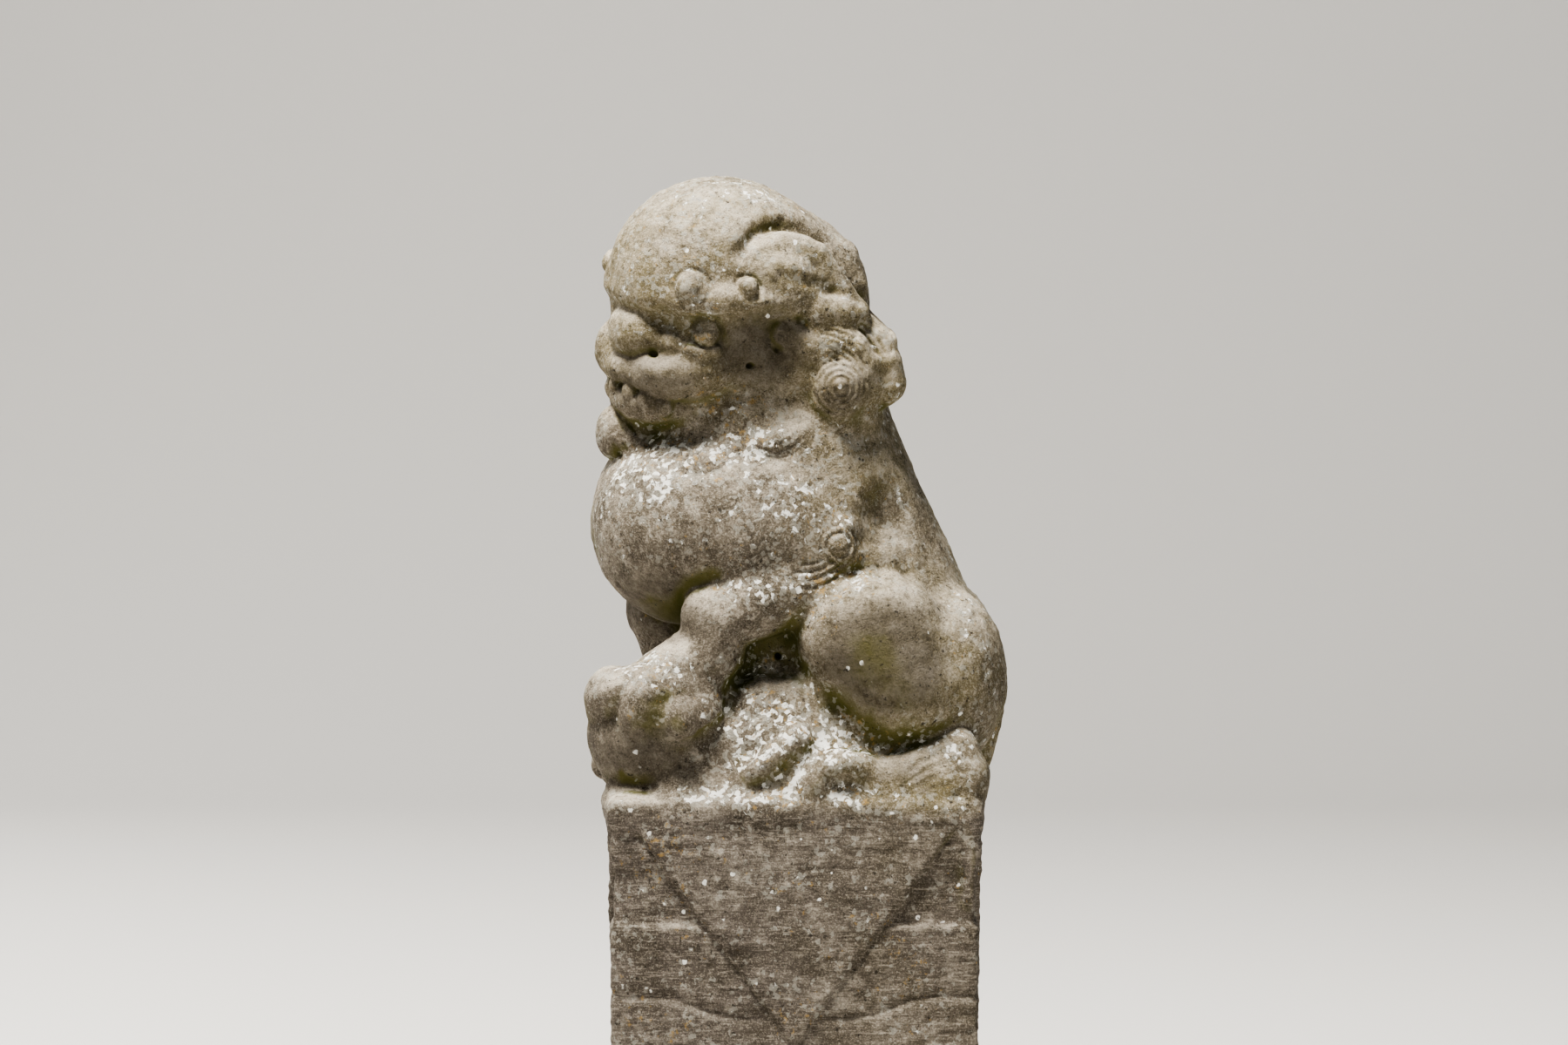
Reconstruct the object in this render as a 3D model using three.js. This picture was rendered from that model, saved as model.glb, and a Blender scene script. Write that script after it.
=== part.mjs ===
// Stone guardian lion on the square top of a post, carved from one stone.
// Units are mm. Z is up, the lion faces -X with its head turned toward -Y, and the
// origin is the middle of the block's underside.

import * as THREE from "three";

// Driving sizes
const BLOCK_LENGTH = 210.6;
const BLOCK_WIDTH = 180;
const BLOCK_TOP = 188;
const BLOCK_EDGE_ROUND = 5;

// Carving on the four block faces: a pointed cloth hangs over each, and the stone
// beside the cloth is sunk, with a narrower waist band and a waved groove below it.
const CLOTH_HALF_SHARE = 0.23;
const CLOTH_HALF_HEIGHT = 80;
const CLOTH_FLARE_PER_MM = 0.0069;
const CLOTH_EDGE = { sharp: -0.012, sunk: 0.03 };
const TOP_BAND_LOW = 166;
const TOP_BAND_HIGH = 173;
const WAIST = { floor: 115, ledge: 119, taper: 144, roof: 156 };
const PLAIN_FOOT = { low: 24, high: 44 };
const SUNK_BESIDE_CLOTH = 1.8;
const SUNK_WAIST = 2.4;
const WAVE = { height: 62, climb: 18, swing: 2.5, perHalf: 9, width: 2.8, depth: 1.8 };
const WAVE_ENDS = { start: 0.1, full: 0.2, fading: 0.93, gone: 1 };
const BLOCK_SOFT = 3;

// The stone is measured on a grid of this step, then thinned to this many triangles.
const GRID_STEP = 3;
const TRIANGLES_KEPT = 9600;
const STONE_BOX = { low: [-128, -104, -6], high: [130, 104, 548] };
const NO_STONE = 60;
const UNDERSIDE_SNAP = 0.4;

// Thinning: how much finer the head stays than the body, and the block coarser. A join
// is refused where a triangle would turn past this cosine or grow more slender than this.
const HEAD_FROM_HEIGHT = 385;
const BLOCK_TO_HEIGHT = 184;
const CARE = { head: 2.5, body: 1, block: 0.7 };
const LEAST_TURN_COSINE = 0.3;
const LEAST_SLENDERNESS = 0.03;
const EDGE_LENGTH_COST = 1e-4;
const LEAST_SOLVABLE = 1e-3;
const FARTHEST_SOLVED = 4;
const PINCH_ROUNDS = 30;
const PINCH_NUDGE = 0.05;

const STONE_COLOUR = 0x8f8775;

// A ball is an ellipsoid of three half-widths, turned by degrees about its own X, Y, Z.
// A limb is a round rod of changing radius along a path. "soft" is the width over which a
// form melts into its neighbours, and "take" marks a form that is cut away instead of added.
function ball(at, radii, { turn = [0, 0, 0], soft = 6, take = false } = {}) {
  return { kind: "ball", at, radii, turn, soft, take };
}

function limb(path, radii, { soft = 6, squash = 1, take = false } = {}) {
  return { kind: "limb", path, radii, soft, squash, take };
}

// Forms of the body, in the stone's own frame. Groups that come in pairs give the near
// (-Y) one, and the other is its mirror image.
const TORSO = {
  chestBarrel: ball([-56, 0, 341], [61, 71, 61], { soft: 6 }),
  back: limb([[13, 0, 378], [54, 0, 278]], [48, 51], { soft: 14, squash: 1.2 }),
  rump: ball([68, 0, 246], [49, 74, 55], { soft: 12 }),
  neckRoot: ball([-20, 0, 384], [66, 58, 30], { soft: 12 }),
  belly: ball([4, 0, 272], [62, 46, 48], { soft: 8 }),
};

const FLANKS = {
  shoulder: ball([-22, -34, 345], [60, 43, 40], { soft: 12 }),
  upperArm: limb([[-24, -50, 328], [22, -54, 328]], [25, 17], { soft: 12 }),
  elbowKnob: ball([25, -59, 331], [14, 12, 14], { soft: 4 }),
  thigh: ball([43, -55, 277], [43, 36, 39], { soft: 4 }),
  calf: ball([61, -57, 249], [32, 32, 30], { soft: 16 }),
  hip: ball([92, -34, 254], [28, 36, 46], { soft: 14 }),
  flankHollow: limb(
    [
      [69, -54, 362], [57, -57, 348], [44, -67, 334],
    ],
    [13, 16, 6],
    { soft: 11, take: true },
  ),
};

const HIND_FEET = {
  foot: limb([[98, -62, 200], [60, -66, 198], [24, -70, 196]], [13, 12, 11], { soft: 9 }),
  heelTuft: limb([[48, -76, 195], [70, -74, 206], [91, -67, 213]], [9, 12, 13.5], { soft: 6 }),
  archedToe: limb(
    [
      [10, -83, 196], [18, -83, 204], [28, -82, 208], [38, -80, 206], [46, -77, 197],
    ],
    [7, 7.5, 8.5, 8, 7],
    { soft: 6 },
  ),
  archedToeHollow: ball([28, -94, 197], [12, 9, 5.5], { turn: [0, 12, 0], soft: 4, take: true }),
  longToe: limb([[-24, -82, 203], [-12, -80, 211], [2, -76, 221]], [5.5, 8.5, 9], { soft: 5 }),
  toeCut: limb([[-20, -92, 199], [-7, -91, 206], [7, -88, 216]], [3.5, 5, 3], { soft: 3, take: true }),
  heelLobe: ball([98, -71, 194], [11, 13, 10], { soft: 8 }),
  heelNotch: ball([112, -76, 205], [6, 9, 5], { soft: 4, take: true }),
  tuftBody: ball([78, -74, 196], [32, 15, 17], { turn: [0, -16, 0], soft: 5 }),
  footFront: ball([10, -68, 202], [30, 14, 16], { turn: [0, -6, 0], soft: 8 }),
};

const NEAR_FORELEG = {
  forearm: limb(
    [
      [12, -54, 311], [-20, -57, 299], [-43, -61, 287], [-48, -60, 270], [-60, -58, 258],
    ],
    [19, 22, 19, 20, 20],
    { soft: 8 },
  ),
  ballUnderThePaw: ball([-80, -47, 222], [38, 37, 37], { soft: 7 }),
  pawBack: ball([-79, -60, 249], [38, 30, 16], { turn: [0, -5, 0], soft: 8 }),
  firstToe: ball([-105, -58, 243], [14, 17, 18], { soft: 5 }),
  secondToe: ball([-87, -73, 239], [15, 18, 19], { soft: 4 }),
  thirdToe: ball([-66, -77, 234], [15, 16, 17], { soft: 4 }),
  innerToe: ball([-108, -38, 245], [10, 11, 14], { soft: 5 }),
  kneeCorner: ball([-50, -61, 291], [13, 13, 13], { soft: 6 }),
  fourthToe: ball([-54, -70, 238], [14, 15, 15], { turn: [0, 25, 0], soft: 5 }),
  wrist: ball([-66, -59, 262], [18, 22, 11], { soft: 12 }),
};

const FAR_FORELEG = {
  forearm: limb(
    [
      [-26, 50, 305], [-70, 50, 288], [-63, 54, 246], [-64, 56, 205],
    ],
    [24, 28, 19, 18],
    { soft: 6 },
  ),
  paw: ball([-82, 58, 199], [30, 26, 15], { soft: 6 }),
  firstToe: limb([[-84, 38, 202], [-104, 38, 194]], [9, 9], { soft: 3 }),
  secondToe: limb([[-86, 51, 205], [-109, 51, 196]], [10, 9], { soft: 3 }),
  thirdToe: limb([[-86, 65, 205], [-109, 65, 196]], [10, 9], { soft: 3 }),
  fourthToe: limb([[-84, 78, 202], [-102, 78, 194]], [9, 9], { soft: 3 }),
};

const GROUND = {
  mound: ball([0, 0, 184], [98, 84, 46], { soft: 8 }),
  frontBank: limb([[-93, -76, 179], [93, -76, 179]], [11.5, 11.5], { soft: 6 }),
  wallUnderTheForearm: ball([-10, -34, 264], [34, 20, 24], { soft: 10 }),
  upperSlope: limb([[-40, -52, 236], [-18, -57, 242], [8, -55, 241]], [14, 14, 14], { soft: 12 }),
  middleSlope: limb(
    [
      [-48, -55, 213], [-10, -58, 219], [26, -52, 216], [60, -50, 205],
    ],
    [22, 22, 21, 18],
    { soft: 12 },
  ),
  lowerSlope: limb([[-62, -60, 192], [60, -64, 190]], [22, 20], { soft: 10 }),
  seatOfTheBall: limb([[-94, -56, 186], [-60, -58, 188]], [15, 16], { soft: 8 }),
};

const TAIL = {
  tail: limb(
    [
      [104, 0, 205], [111, 0, 232], [111, 0, 256], [103, 0, 280], [90, 0, 300],
      [80, 0, 322],
    ],
    [9, 9.5, 9.5, 9, 8, 6],
    { soft: 4 },
  ),
};

const HEAD_CENTRE = [-35, -4, 468];
const HEAD_TURN = 30;
const HEAD_TILT = 8;

const SKULL = {
  browDome: ball([11, 0, 10], [65, 59, 61], { soft: 6 }),
  backOfSkull: ball([-20, 0, 4], [61, 56, 50], { soft: 12 }),
  nape: ball([-34, 0, -20], [44, 50, 44], { soft: 12 }),
};

const EYE_SOCKETS = {
  socket: ball([46, 51, -11], [11.5, 10, 9.5], { turn: [0, 0, 36], soft: 5, take: true }),
};

const FACE = {
  faceCore: ball([24, 0, -28], [42, 46, 34], { soft: 8 }),
  noseBridge: limb([[46, 0, 0], [55, 0, -10]], [16, 16], { soft: 7 }),
  muzzle: ball([43, 0, -37.5], [31.5, 36, 13.5], { soft: 8 }),
  lowerJaw: ball([37, 0, -57], [34.5, 35, 17], { soft: 3 }),
};

const FACE_SIDES = {
  cheekFlat: ball([0, 38, -26], [28, 21, 32], { soft: 8 }),
  browLobe: limb(
    [
      [62, 18, 5], [51, 40, 7], [36, 54, 8], [18, 60, 8], [0, 61, 4],
    ],
    [9, 9, 9, 8.5, 7],
    { soft: 6 },
  ),
  cheekBag: ball([38, 31.5, -34], [22, 20, 19], { soft: 8 }),
  lipPad: ball([51, 26.5, -36], [20, 18.5, 14], { soft: 7 }),
  lowerLid: limb([[54, 42, -20.5], [47, 47.5, -22.5], [38, 51, -20.5]], [1.8, 2.2, 1.8], { soft: 6 }),
  eye: ball([42.5, 45.5, -10.5], [8.5, 8.5, 8.5], { soft: 1.5 }),
  lipBand: limb([[70, 0, -40], [66, 20, -43], [54, 36, -47]], [4.5, 4.5, 3.5], { soft: 5 }),
  mouthLine: limb(
    [
      [80, 0, -45], [74, 20, -48], [57, 42, -53], [28, 58, -50],
    ],
    [4, 4, 3.5, 2],
    { soft: 2, take: true },
  ),
  cheekRecess: ball([4, 72, -14], [17, 12, 17], { soft: 5, take: true }),
  cheekKnob: ball([-1, 59, -9], [9.5, 7.5, 9.5], { soft: 2 }),
  frontPit: ball([17, 56, -29], [2.5, 7, 2], { turn: [0, 30, 0], soft: 1.5, take: true }),
  rearPit: ball([2.5, 62, -20], [2.5, 7, 3], { soft: 1.5, take: true }),
  browEndCurl: ball([25.5, 60, 17], [6, 6.5, 6], { soft: 1.5 }),
  browCurl: ball([54, 42, 15], [8.5, 9.5, 9], { soft: 2 }),
  canine: ball([56, 28.5, -56], [5, 5, 6], { soft: 1.5 }),
  frontTooth: ball([67.5, 8.5, -50], [5, 5.5, 7], { soft: 1.5 }),
  sideTooth: ball([62.5, 20, -53], [5.5, 5.5, 7], { soft: 1.5 }),
  underTheBrow: limb(
    [
      [77, 0, -5], [71, 28, -4], [62, 40, -6], [49, 49.5, -6.5], [37, 59, -5], [26, 64, -4],
      [17, 68, 1], [6, 70, 3],
    ],
    [4, 4, 3.5, 3.5, 3.5, 3.5, 3, 3],
    { soft: 7, take: true },
  ),
};

const NOSE = {
  besideTheNose: ball([68, 33, -15], [13, 14, 15], { turn: [0, -20, 0], soft: 8, take: true }),
  farUpperLip: ball([57, -25, -28], [14, 15, 12.5], { soft: 8 }),
  noseBulb: ball([61.5, 1.5, -17], [15.5, 23.5, 16.5], { soft: 2 }),
};

const NOSE_SIDES = {
  nostrilWing: limb(
    [
      [56, 24.5, -15], [52, 29, -17], [51, 32.5, -23], [54, 33.5, -28.5], [60, 30, -32],
    ],
    [4, 5, 5.5, 5, 4],
    { soft: 2.5 },
  ),
};

const NOSTRIL = {
  nostril: ball([63, 24, -27], [2.5, 3, 2.2], { soft: 2, take: true }),
};

const EARS = {
  earValley: limb(
    [
      [26, 52, 36], [15, 49, 44], [3, 47, 47.5], [-9, 45, 48.5], [-21, 43, 45.5],
      [-31, 43, 38.5],
    ],
    [3.5, 5, 6, 6.5, 5.5, 4],
    { soft: 7, take: true },
  ),
  earLeaf: ball([-7, 54, 17], [28, 16, 20], { turn: [0, -26, 0], soft: 6 }),
  earRim: limb(
    [
      [19, 46, 28], [9, 48, 35], [-1, 50, 38], [-12, 53, 36], [-19, 55, 32], [-26, 57, 24],
      [-33, 60, 15], [-40, 62, 6],
    ],
    [6, 8, 9, 9, 9, 8.5, 8, 8],
    { soft: 4 },
  ),
  lowerLobe: limb(
    [
      [-6, 61, 13], [-19, 63, 3.5], [-32, 64, 2], [-42, 65, 1],
    ],
    [5, 11, 11.5, 9.5],
    { soft: 3 },
  ),
  lobeUndercut: limb(
    [
      [-8, 74, -7], [-20, 77, -11], [-36, 78, -12],
    ],
    [2.5, 3.5, 3],
    { soft: 3, take: true },
  ),
};

const MANE = {
  maneMass: ball([8, 0, 430], [50, 54, 36], { soft: 8 }),
  throat: ball([-28, -6, 404], [46, 48, 26], { soft: 10 }),
  crownTuft: limb([[25, -9, 491], [31, -10, 476]], [12.5, 11.5], { soft: 4 }),
};

const MANE_SIDES = {
  maneUnderTheEar: ball([14, -44, 442], [22, 16, 14], { soft: 8 }),
  rootOfTheCurl: ball([35, -34, 437], [15, 11, 17], { soft: 8 }),
  hairOverTheCurl: limb(
    [
      [13, -46, 446], [24, -49, 447.5], [34, -49, 441.5], [40.5, -47, 431.5],
      [42.5, -44, 419], [39, -41, 407],
    ],
    [6, 7, 7.5, 7, 6.5, 6],
    { soft: 5 },
  ),
  bigCurl: ball([26, -51, 420], [17, 13, 18], { soft: 4 }),
  curlKnob: ball([26, -64, 421], [3.5, 3, 3.5], { soft: 1.5 }),
  backLock: limb(
    [
      [38, -28, 454], [46, -32, 444], [50, -34, 432], [51, -32, 421],
    ],
    [8, 10.5, 11.5, 12.8],
    { soft: 5 },
  ),
  lockKnob: ball([54, -34, 443.5], [5, 7, 7], { soft: 2 }),
};

const TASSEL = {
  tassel: ball([-101, -14, 392], [12, 14, 16], { soft: 3 }),
  tasselRoot: ball([-89, -16, 388], [13, 16, 12], { soft: 8 }),
};

const NECK_LOCKS = {
  frontLock: ball([-50, -52, 376], [15, 10, 9], { turn: [0, -12, 0], soft: 5 }),
  rearLock: ball([-10, -52, 389], [18, 10, 8], { turn: [0, -10, 0], soft: 5 }),
};

const WORLD = { origin: [0, 0, 0], axes: [[1, 0, 0], [0, 1, 0], [0, 0, 1]] };

const sum = (a, b) => a.map((v, i) => v + b[i]);
const less = (a, b) => a.map((v, i) => v - b[i]);
const scaled = (a, s) => a.map((v) => v * s);
const dot = (a, b) => a[0] * b[0] + a[1] * b[1] + a[2] * b[2];
const cross = (a, b) => [
  a[1] * b[2] - a[2] * b[1],
  a[2] * b[0] - a[0] * b[2],
  a[0] * b[1] - a[1] * b[0],
];
const clamp = (v, low, high) => Math.min(Math.max(v, low), high);

function smoothStep(low, high, v) {
  const t = clamp((v - low) / (high - low), 0, 1);
  return t * t * (3 - 2 * t);
}

// Union of two distances whose meeting line is filled over the width "soft".
function melt(a, b, soft) {
  const h = Math.max(soft - Math.abs(a - b), 0) / soft;
  return Math.min(a, b) - (h * h * soft) / 4;
}

// The head's own axes: forward, toward its near ear, and up.
function headFrame() {
  const turn = THREE.MathUtils.degToRad(HEAD_TURN);
  const tilt = THREE.MathUtils.degToRad(HEAD_TILT);
  const forward = [-Math.cos(turn), -Math.sin(turn), 0];
  const near = [Math.sin(turn), -Math.cos(turn), 0];
  const up = [0, 0, 1];
  const nearTilted = less(scaled(near, Math.cos(tilt)), scaled(up, Math.sin(tilt)));
  const upTilted = sum(scaled(up, Math.cos(tilt)), scaled(near, Math.sin(tilt)));
  return { origin: HEAD_CENTRE, axes: [forward, nearTilted, upTilted] };
}

function directionOut(v, place) {
  const mirrored = [v[0], v[1] * place.side, v[2]];
  return [0, 1, 2].map((i) => dot(mirrored, place.frame.axes.map((axis) => axis[i])));
}

function pointOut(p, place) {
  return sum(place.frame.origin, directionOut(p, place));
}

// Distance to an ellipsoid: k0 (k0 - 1) / k1, with k0 the length of q / r and k1 that of
// q / r squared. The small number keeps the very centre inside.
const OFF_CENTRE = 1e-4;

function ballShape(form, place) {
  const centre = pointOut(form.at, place);
  const turn = new THREE.Matrix4().makeRotationFromEuler(
    new THREE.Euler(...form.turn.map(THREE.MathUtils.degToRad), "ZYX"),
  );
  const axes = [0, 1, 2].map((i) => {
    const column = new THREE.Vector3().setFromMatrixColumn(turn, i);
    return directionOut(column.toArray(), place);
  });
  const reach = [0, 1, 2].map((i) => Math.hypot(...axes.map((axis, j) => axis[i] * form.radii[j])));
  const distance = (x, y, z) => {
    const p = [x - centre[0], y - centre[1], z - centre[2]];
    let first = 0;
    let second = 0;
    for (let i = 0; i < 3; i += 1) {
      const q = dot(p, axes[i]) / form.radii[i];
      first += q * q;
      second += (q / form.radii[i]) ** 2;
    }
    const k0 = Math.sqrt(first) + OFF_CENTRE;
    return (k0 * (k0 - 1)) / Math.max(Math.sqrt(second), 1e-6);
  };
  return { low: less(centre, reach), high: sum(centre, reach), distance };
}

// Distance to a rod: the least over its straight runs of |p - nearest point| - radius there.
function limbShape(form, place) {
  const points = form.path.map((p) => pointOut(p, place));
  const across = directionOut([0, 1, 0], place);
  const reach = Math.max(...form.radii) * Math.max(1, form.squash);
  const runs = points.slice(1).map((end, i) => {
    const along = less(end, points[i]);
    const ends = { from: form.radii[i], to: form.radii[i + 1] };
    return { start: points[i], along, length2: dot(along, along), ...ends };
  });
  const distance = (x, y, z) => {
    let best = Infinity;
    for (const run of runs) {
      const p = [x - run.start[0], y - run.start[1], z - run.start[2]];
      const t = clamp(dot(p, run.along) / run.length2, 0, 1);
      const q = less(p, scaled(run.along, t));
      let away2 = dot(q, q);
      if (form.squash !== 1) {
        const side = dot(q, across);
        away2 += (side / form.squash) ** 2 - side * side;
      }
      best = Math.min(best, Math.sqrt(away2) - (run.from + t * (run.to - run.from)));
    }
    return best;
  };
  const corner = (pick) => [0, 1, 2].map((i) => pick(...points.map((p) => p[i])));
  return {
    low: corner(Math.min).map((v) => v - reach),
    high: corner(Math.max).map((v) => v + reach),
    distance,
  };
}

const SHAPES = { ball: ballShape, limb: limbShape };

// The block: a rounded box whose faces are sunk by the carving.
function blockShape() {
  const half = [BLOCK_LENGTH / 2, BLOCK_WIDTH / 2];
  const distance = (x, y, z) => {
    const qx = Math.abs(x) - half[0] + BLOCK_EDGE_ROUND;
    const qy = Math.abs(y) - half[1] + BLOCK_EDGE_ROUND;
    const qz = Math.abs(z - BLOCK_TOP / 2) - BLOCK_TOP / 2 + BLOCK_EDGE_ROUND;
    const outer = Math.hypot(Math.max(qx, 0), Math.max(qy, 0), Math.max(qz, 0));
    const box = outer + Math.min(Math.max(qx, qy, qz), 0) - BLOCK_EDGE_ROUND;
    const share = qy > qx ? Math.abs(x) / half[0] : Math.abs(y) / half[1];
    const clothEdge = CLOTH_HALF_SHARE + CLOTH_FLARE_PER_MM * (z - CLOTH_HALF_HEIGHT);
    const beside = smoothStep(CLOTH_EDGE.sharp, CLOTH_EDGE.sunk, share - clothEdge);
    const belowBand = 1 - smoothStep(TOP_BAND_LOW, TOP_BAND_HIGH, z);
    const waist = smoothStep(WAIST.floor, WAIST.ledge, z) * (1 - smoothStep(WAIST.taper, WAIST.roof, z));
    const foot = smoothStep(PLAIN_FOOT.low, PLAIN_FOOT.high, z);
    const line = WAVE.height + WAVE.climb * share + WAVE.swing * Math.cos(share * WAVE.perHalf);
    const ends = smoothStep(WAVE_ENDS.start, WAVE_ENDS.full, share)
      * (1 - smoothStep(WAVE_ENDS.fading, WAVE_ENDS.gone, share));
    const groove = WAVE.depth * Math.exp(-(((z - line) / WAVE.width) ** 2)) * ends;
    return box + beside * belowBand * foot * (SUNK_BESIDE_CLOTH + SUNK_WAIST * waist) + groove;
  };
  return { low: [-half[0], -half[1], 0], high: [half[0], half[1], BLOCK_TOP], distance };
}

// The stone as signed distances on a regular grid: negative inside.
class Stone {
  constructor(box, step) {
    this.low = box.low;
    this.step = step;
    this.count = box.high.map((v, i) => Math.ceil((v - box.low[i]) / step) + 1);
    this.value = new Float32Array(this.count[0] * this.count[1] * this.count[2]).fill(NO_STONE);
  }

  index(i, j, k) {
    return (i * this.count[1] + j) * this.count[2] + k;
  }

  lay(shape, soft, take) {
    const reach = soft + 3 * this.step;
    const from = shape.low.map((v, i) => Math.max(0, Math.floor((v - reach - this.low[i]) / this.step)));
    const to = shape.high.map((v, i) => {
      return Math.min(this.count[i] - 1, Math.ceil((v + reach - this.low[i]) / this.step));
    });
    for (let i = from[0]; i <= to[0]; i += 1) {
      for (let j = from[1]; j <= to[1]; j += 1) {
        for (let k = from[2]; k <= to[2]; k += 1) {
          const d = shape.distance(
            this.low[0] + i * this.step,
            this.low[1] + j * this.step,
            this.low[2] + k * this.step,
          );
          const n = this.index(i, j, k);
          this.value[n] = take ? -melt(-this.value[n], d, soft) : melt(this.value[n], d, soft);
        }
      }
    }
  }

  layGroup(group, frame, sides) {
    for (const form of Object.values(group)) {
      for (const side of sides) {
        this.lay(SHAPES[form.kind](form, { frame, side }), form.soft, form.take === true);
      }
    }
  }
}

function carvedStone() {
  const stone = new Stone(STONE_BOX, GRID_STEP);
  const head = headFrame();
  const one = [1];
  const pair = [1, -1];
  stone.layGroup(SKULL, head, one);
  stone.layGroup(EYE_SOCKETS, head, pair);
  stone.layGroup(FACE, head, one);
  stone.layGroup(FACE_SIDES, head, pair);
  stone.layGroup(NOSE, head, one);
  stone.layGroup(NOSE_SIDES, head, pair);
  stone.layGroup(NOSTRIL, head, one);
  stone.layGroup(EARS, head, pair);
  stone.layGroup(MANE, WORLD, one);
  stone.layGroup(MANE_SIDES, WORLD, pair);
  stone.layGroup(TORSO, WORLD, one);
  stone.layGroup(FLANKS, WORLD, pair);
  stone.layGroup(TASSEL, WORLD, one);
  stone.layGroup(NECK_LOCKS, WORLD, pair);
  stone.lay(blockShape(), BLOCK_SOFT, false);
  stone.layGroup(GROUND, WORLD, one);
  stone.layGroup(HIND_FEET, WORLD, pair);
  stone.layGroup(NEAR_FORELEG, WORLD, one);
  stone.layGroup(FAR_FORELEG, WORLD, one);
  stone.layGroup(TAIL, WORLD, one);
  return stone;
}

const CORNERS = [0, 1, 2, 3, 4, 5, 6, 7].map((n) => [n & 1, (n >> 1) & 1, (n >> 2) & 1]);
const CUBE_EDGES = [];
CORNERS.forEach((a, i) => {
  CORNERS.forEach((b, j) => {
    if (i < j && Math.abs(a[0] - b[0]) + Math.abs(a[1] - b[1]) + Math.abs(a[2] - b[2]) === 1) {
      CUBE_EDGES.push([i, j]);
    }
  });
});

// A cell is plain when its inside corners hang together, its outside corners hang
// together, and no face has its inside corners on one diagonal only.
function isPlain(mask) {
  const joined = (wanted) => {
    const corners = CORNERS.map((_, i) => i).filter((i) => ((mask >> i) & 1) === wanted);
    const reached = new Set(corners.slice(0, 1));
    for (let pass = 0; pass < 8; pass += 1) {
      for (const [a, b] of CUBE_EDGES) {
        if (corners.includes(a) && corners.includes(b) && (reached.has(a) || reached.has(b))) {
          reached.add(a).add(b);
        }
      }
    }
    return reached.size === corners.length;
  };
  const crossed = [0, 1, 2].some((axis) => {
    return [0, 1].some((level) => {
      const face = CORNERS.map((_, i) => i).filter((i) => CORNERS[i][axis] === level);
      const [a, b, c, d] = face.map((i) => (mask >> i) & 1);
      return a === d && b === c && a !== b;
    });
  });
  return joined(0) && joined(1) && !crossed;
}

const PLAIN = Array.from({ length: 256 }, (_, mask) => isPlain(mask));

// Fills the outside corner nearest the surface wherever a cell isn't plain, so that the
// surface has no pinched places.
function clearPinches(stone) {
  const { count, value } = stone;
  const offsets = CORNERS.map((c) => stone.index(c[0], c[1], c[2]));
  const nudge = PINCH_NUDGE * stone.step;
  for (let round = 0; round < PINCH_ROUNDS; round += 1) {
    let moved = 0;
    for (let i = 0; i < count[0] - 1; i += 1) {
      for (let j = 0; j < count[1] - 1; j += 1) {
        for (let k = 0; k < count[2] - 1; k += 1) {
          const here = stone.index(i, j, k);
          let mask = 0;
          for (let n = 0; n < 8; n += 1) {
            mask |= value[here + offsets[n]] < 0 ? 1 << n : 0;
          }
          if (!PLAIN[mask]) {
            const outside = offsets.map((offset) => here + offset).filter((n) => value[n] >= 0);
            outside.sort((a, b) => value[a] - value[b]);
            value[outside[0]] = -nudge;
            moved += 1;
          }
        }
      }
    }
    if (moved === 0) {
      return;
    }
  }
}

// One point per cell that the surface passes through, at the mean of its edge crossings,
// and two triangles per grid edge that it cuts.
function surfaceOf(stone) {
  const { count, value, step, low } = stone;
  const pointAt = new Int32Array(value.length).fill(-1);
  const offsets = CORNERS.map((c) => stone.index(c[0], c[1], c[2]));
  const points = [];
  for (let i = 0; i < count[0] - 1; i += 1) {
    for (let j = 0; j < count[1] - 1; j += 1) {
      for (let k = 0; k < count[2] - 1; k += 1) {
        const here = stone.index(i, j, k);
        const first = value[here] < 0;
        if (offsets.every((offset) => value[here + offset] < 0 === first)) {
          continue;
        }
        const d = offsets.map((offset) => value[here + offset]);
        let crossings = 0;
        const mean = [0, 0, 0];
        for (const [a, b] of CUBE_EDGES) {
          if (d[a] < 0 !== d[b] < 0) {
            const t = d[a] / (d[a] - d[b]);
            for (let axis = 0; axis < 3; axis += 1) {
              mean[axis] += CORNERS[a][axis] + t * (CORNERS[b][axis] - CORNERS[a][axis]);
            }
            crossings += 1;
          }
        }
        pointAt[here] = points.length;
        const cell = [i, j, k];
        points.push(mean.map((m, axis) => low[axis] + step * (cell[axis] + m / crossings)));
      }
    }
  }
  const triangles = [];
  const stride = [count[1] * count[2], count[2], 1];
  for (let i = 1; i < count[0] - 1; i += 1) {
    for (let j = 1; j < count[1] - 1; j += 1) {
      for (let k = 1; k < count[2] - 1; k += 1) {
        const here = stone.index(i, j, k);
        for (let axis = 0; axis < 3; axis += 1) {
          const inside = value[here] < 0;
          if (inside !== value[here + stride[axis]] < 0) {
            const u = stride[(axis + 1) % 3];
            const v = stride[(axis + 2) % 3];
            const ring = [here - u - v, here - v, here, here - u].map((n) => pointAt[n]);
            const [a, b, c, d] = inside ? ring : ring.reverse();
            const shortFirst = distance2(points[a], points[c]) <= distance2(points[b], points[d]);
            if (shortFirst) {
              triangles.push([a, b, c], [a, c, d]);
            } else {
              triangles.push([a, b, d], [b, c, d]);
            }
          }
        }
      }
    }
  }
  return { points, triangles };
}

function distance2(a, b) {
  return (a[0] - b[0]) ** 2 + (a[1] - b[1]) ** 2 + (a[2] - b[2]) ** 2;
}

// The head keeps finer triangles than the body, and the block coarser ones.
function careAt(point) {
  if (point[2] > HEAD_FROM_HEIGHT) {
    return CARE.head;
  }
  return point[2] < BLOCK_TO_HEIGHT ? CARE.block : CARE.body;
}

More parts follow.
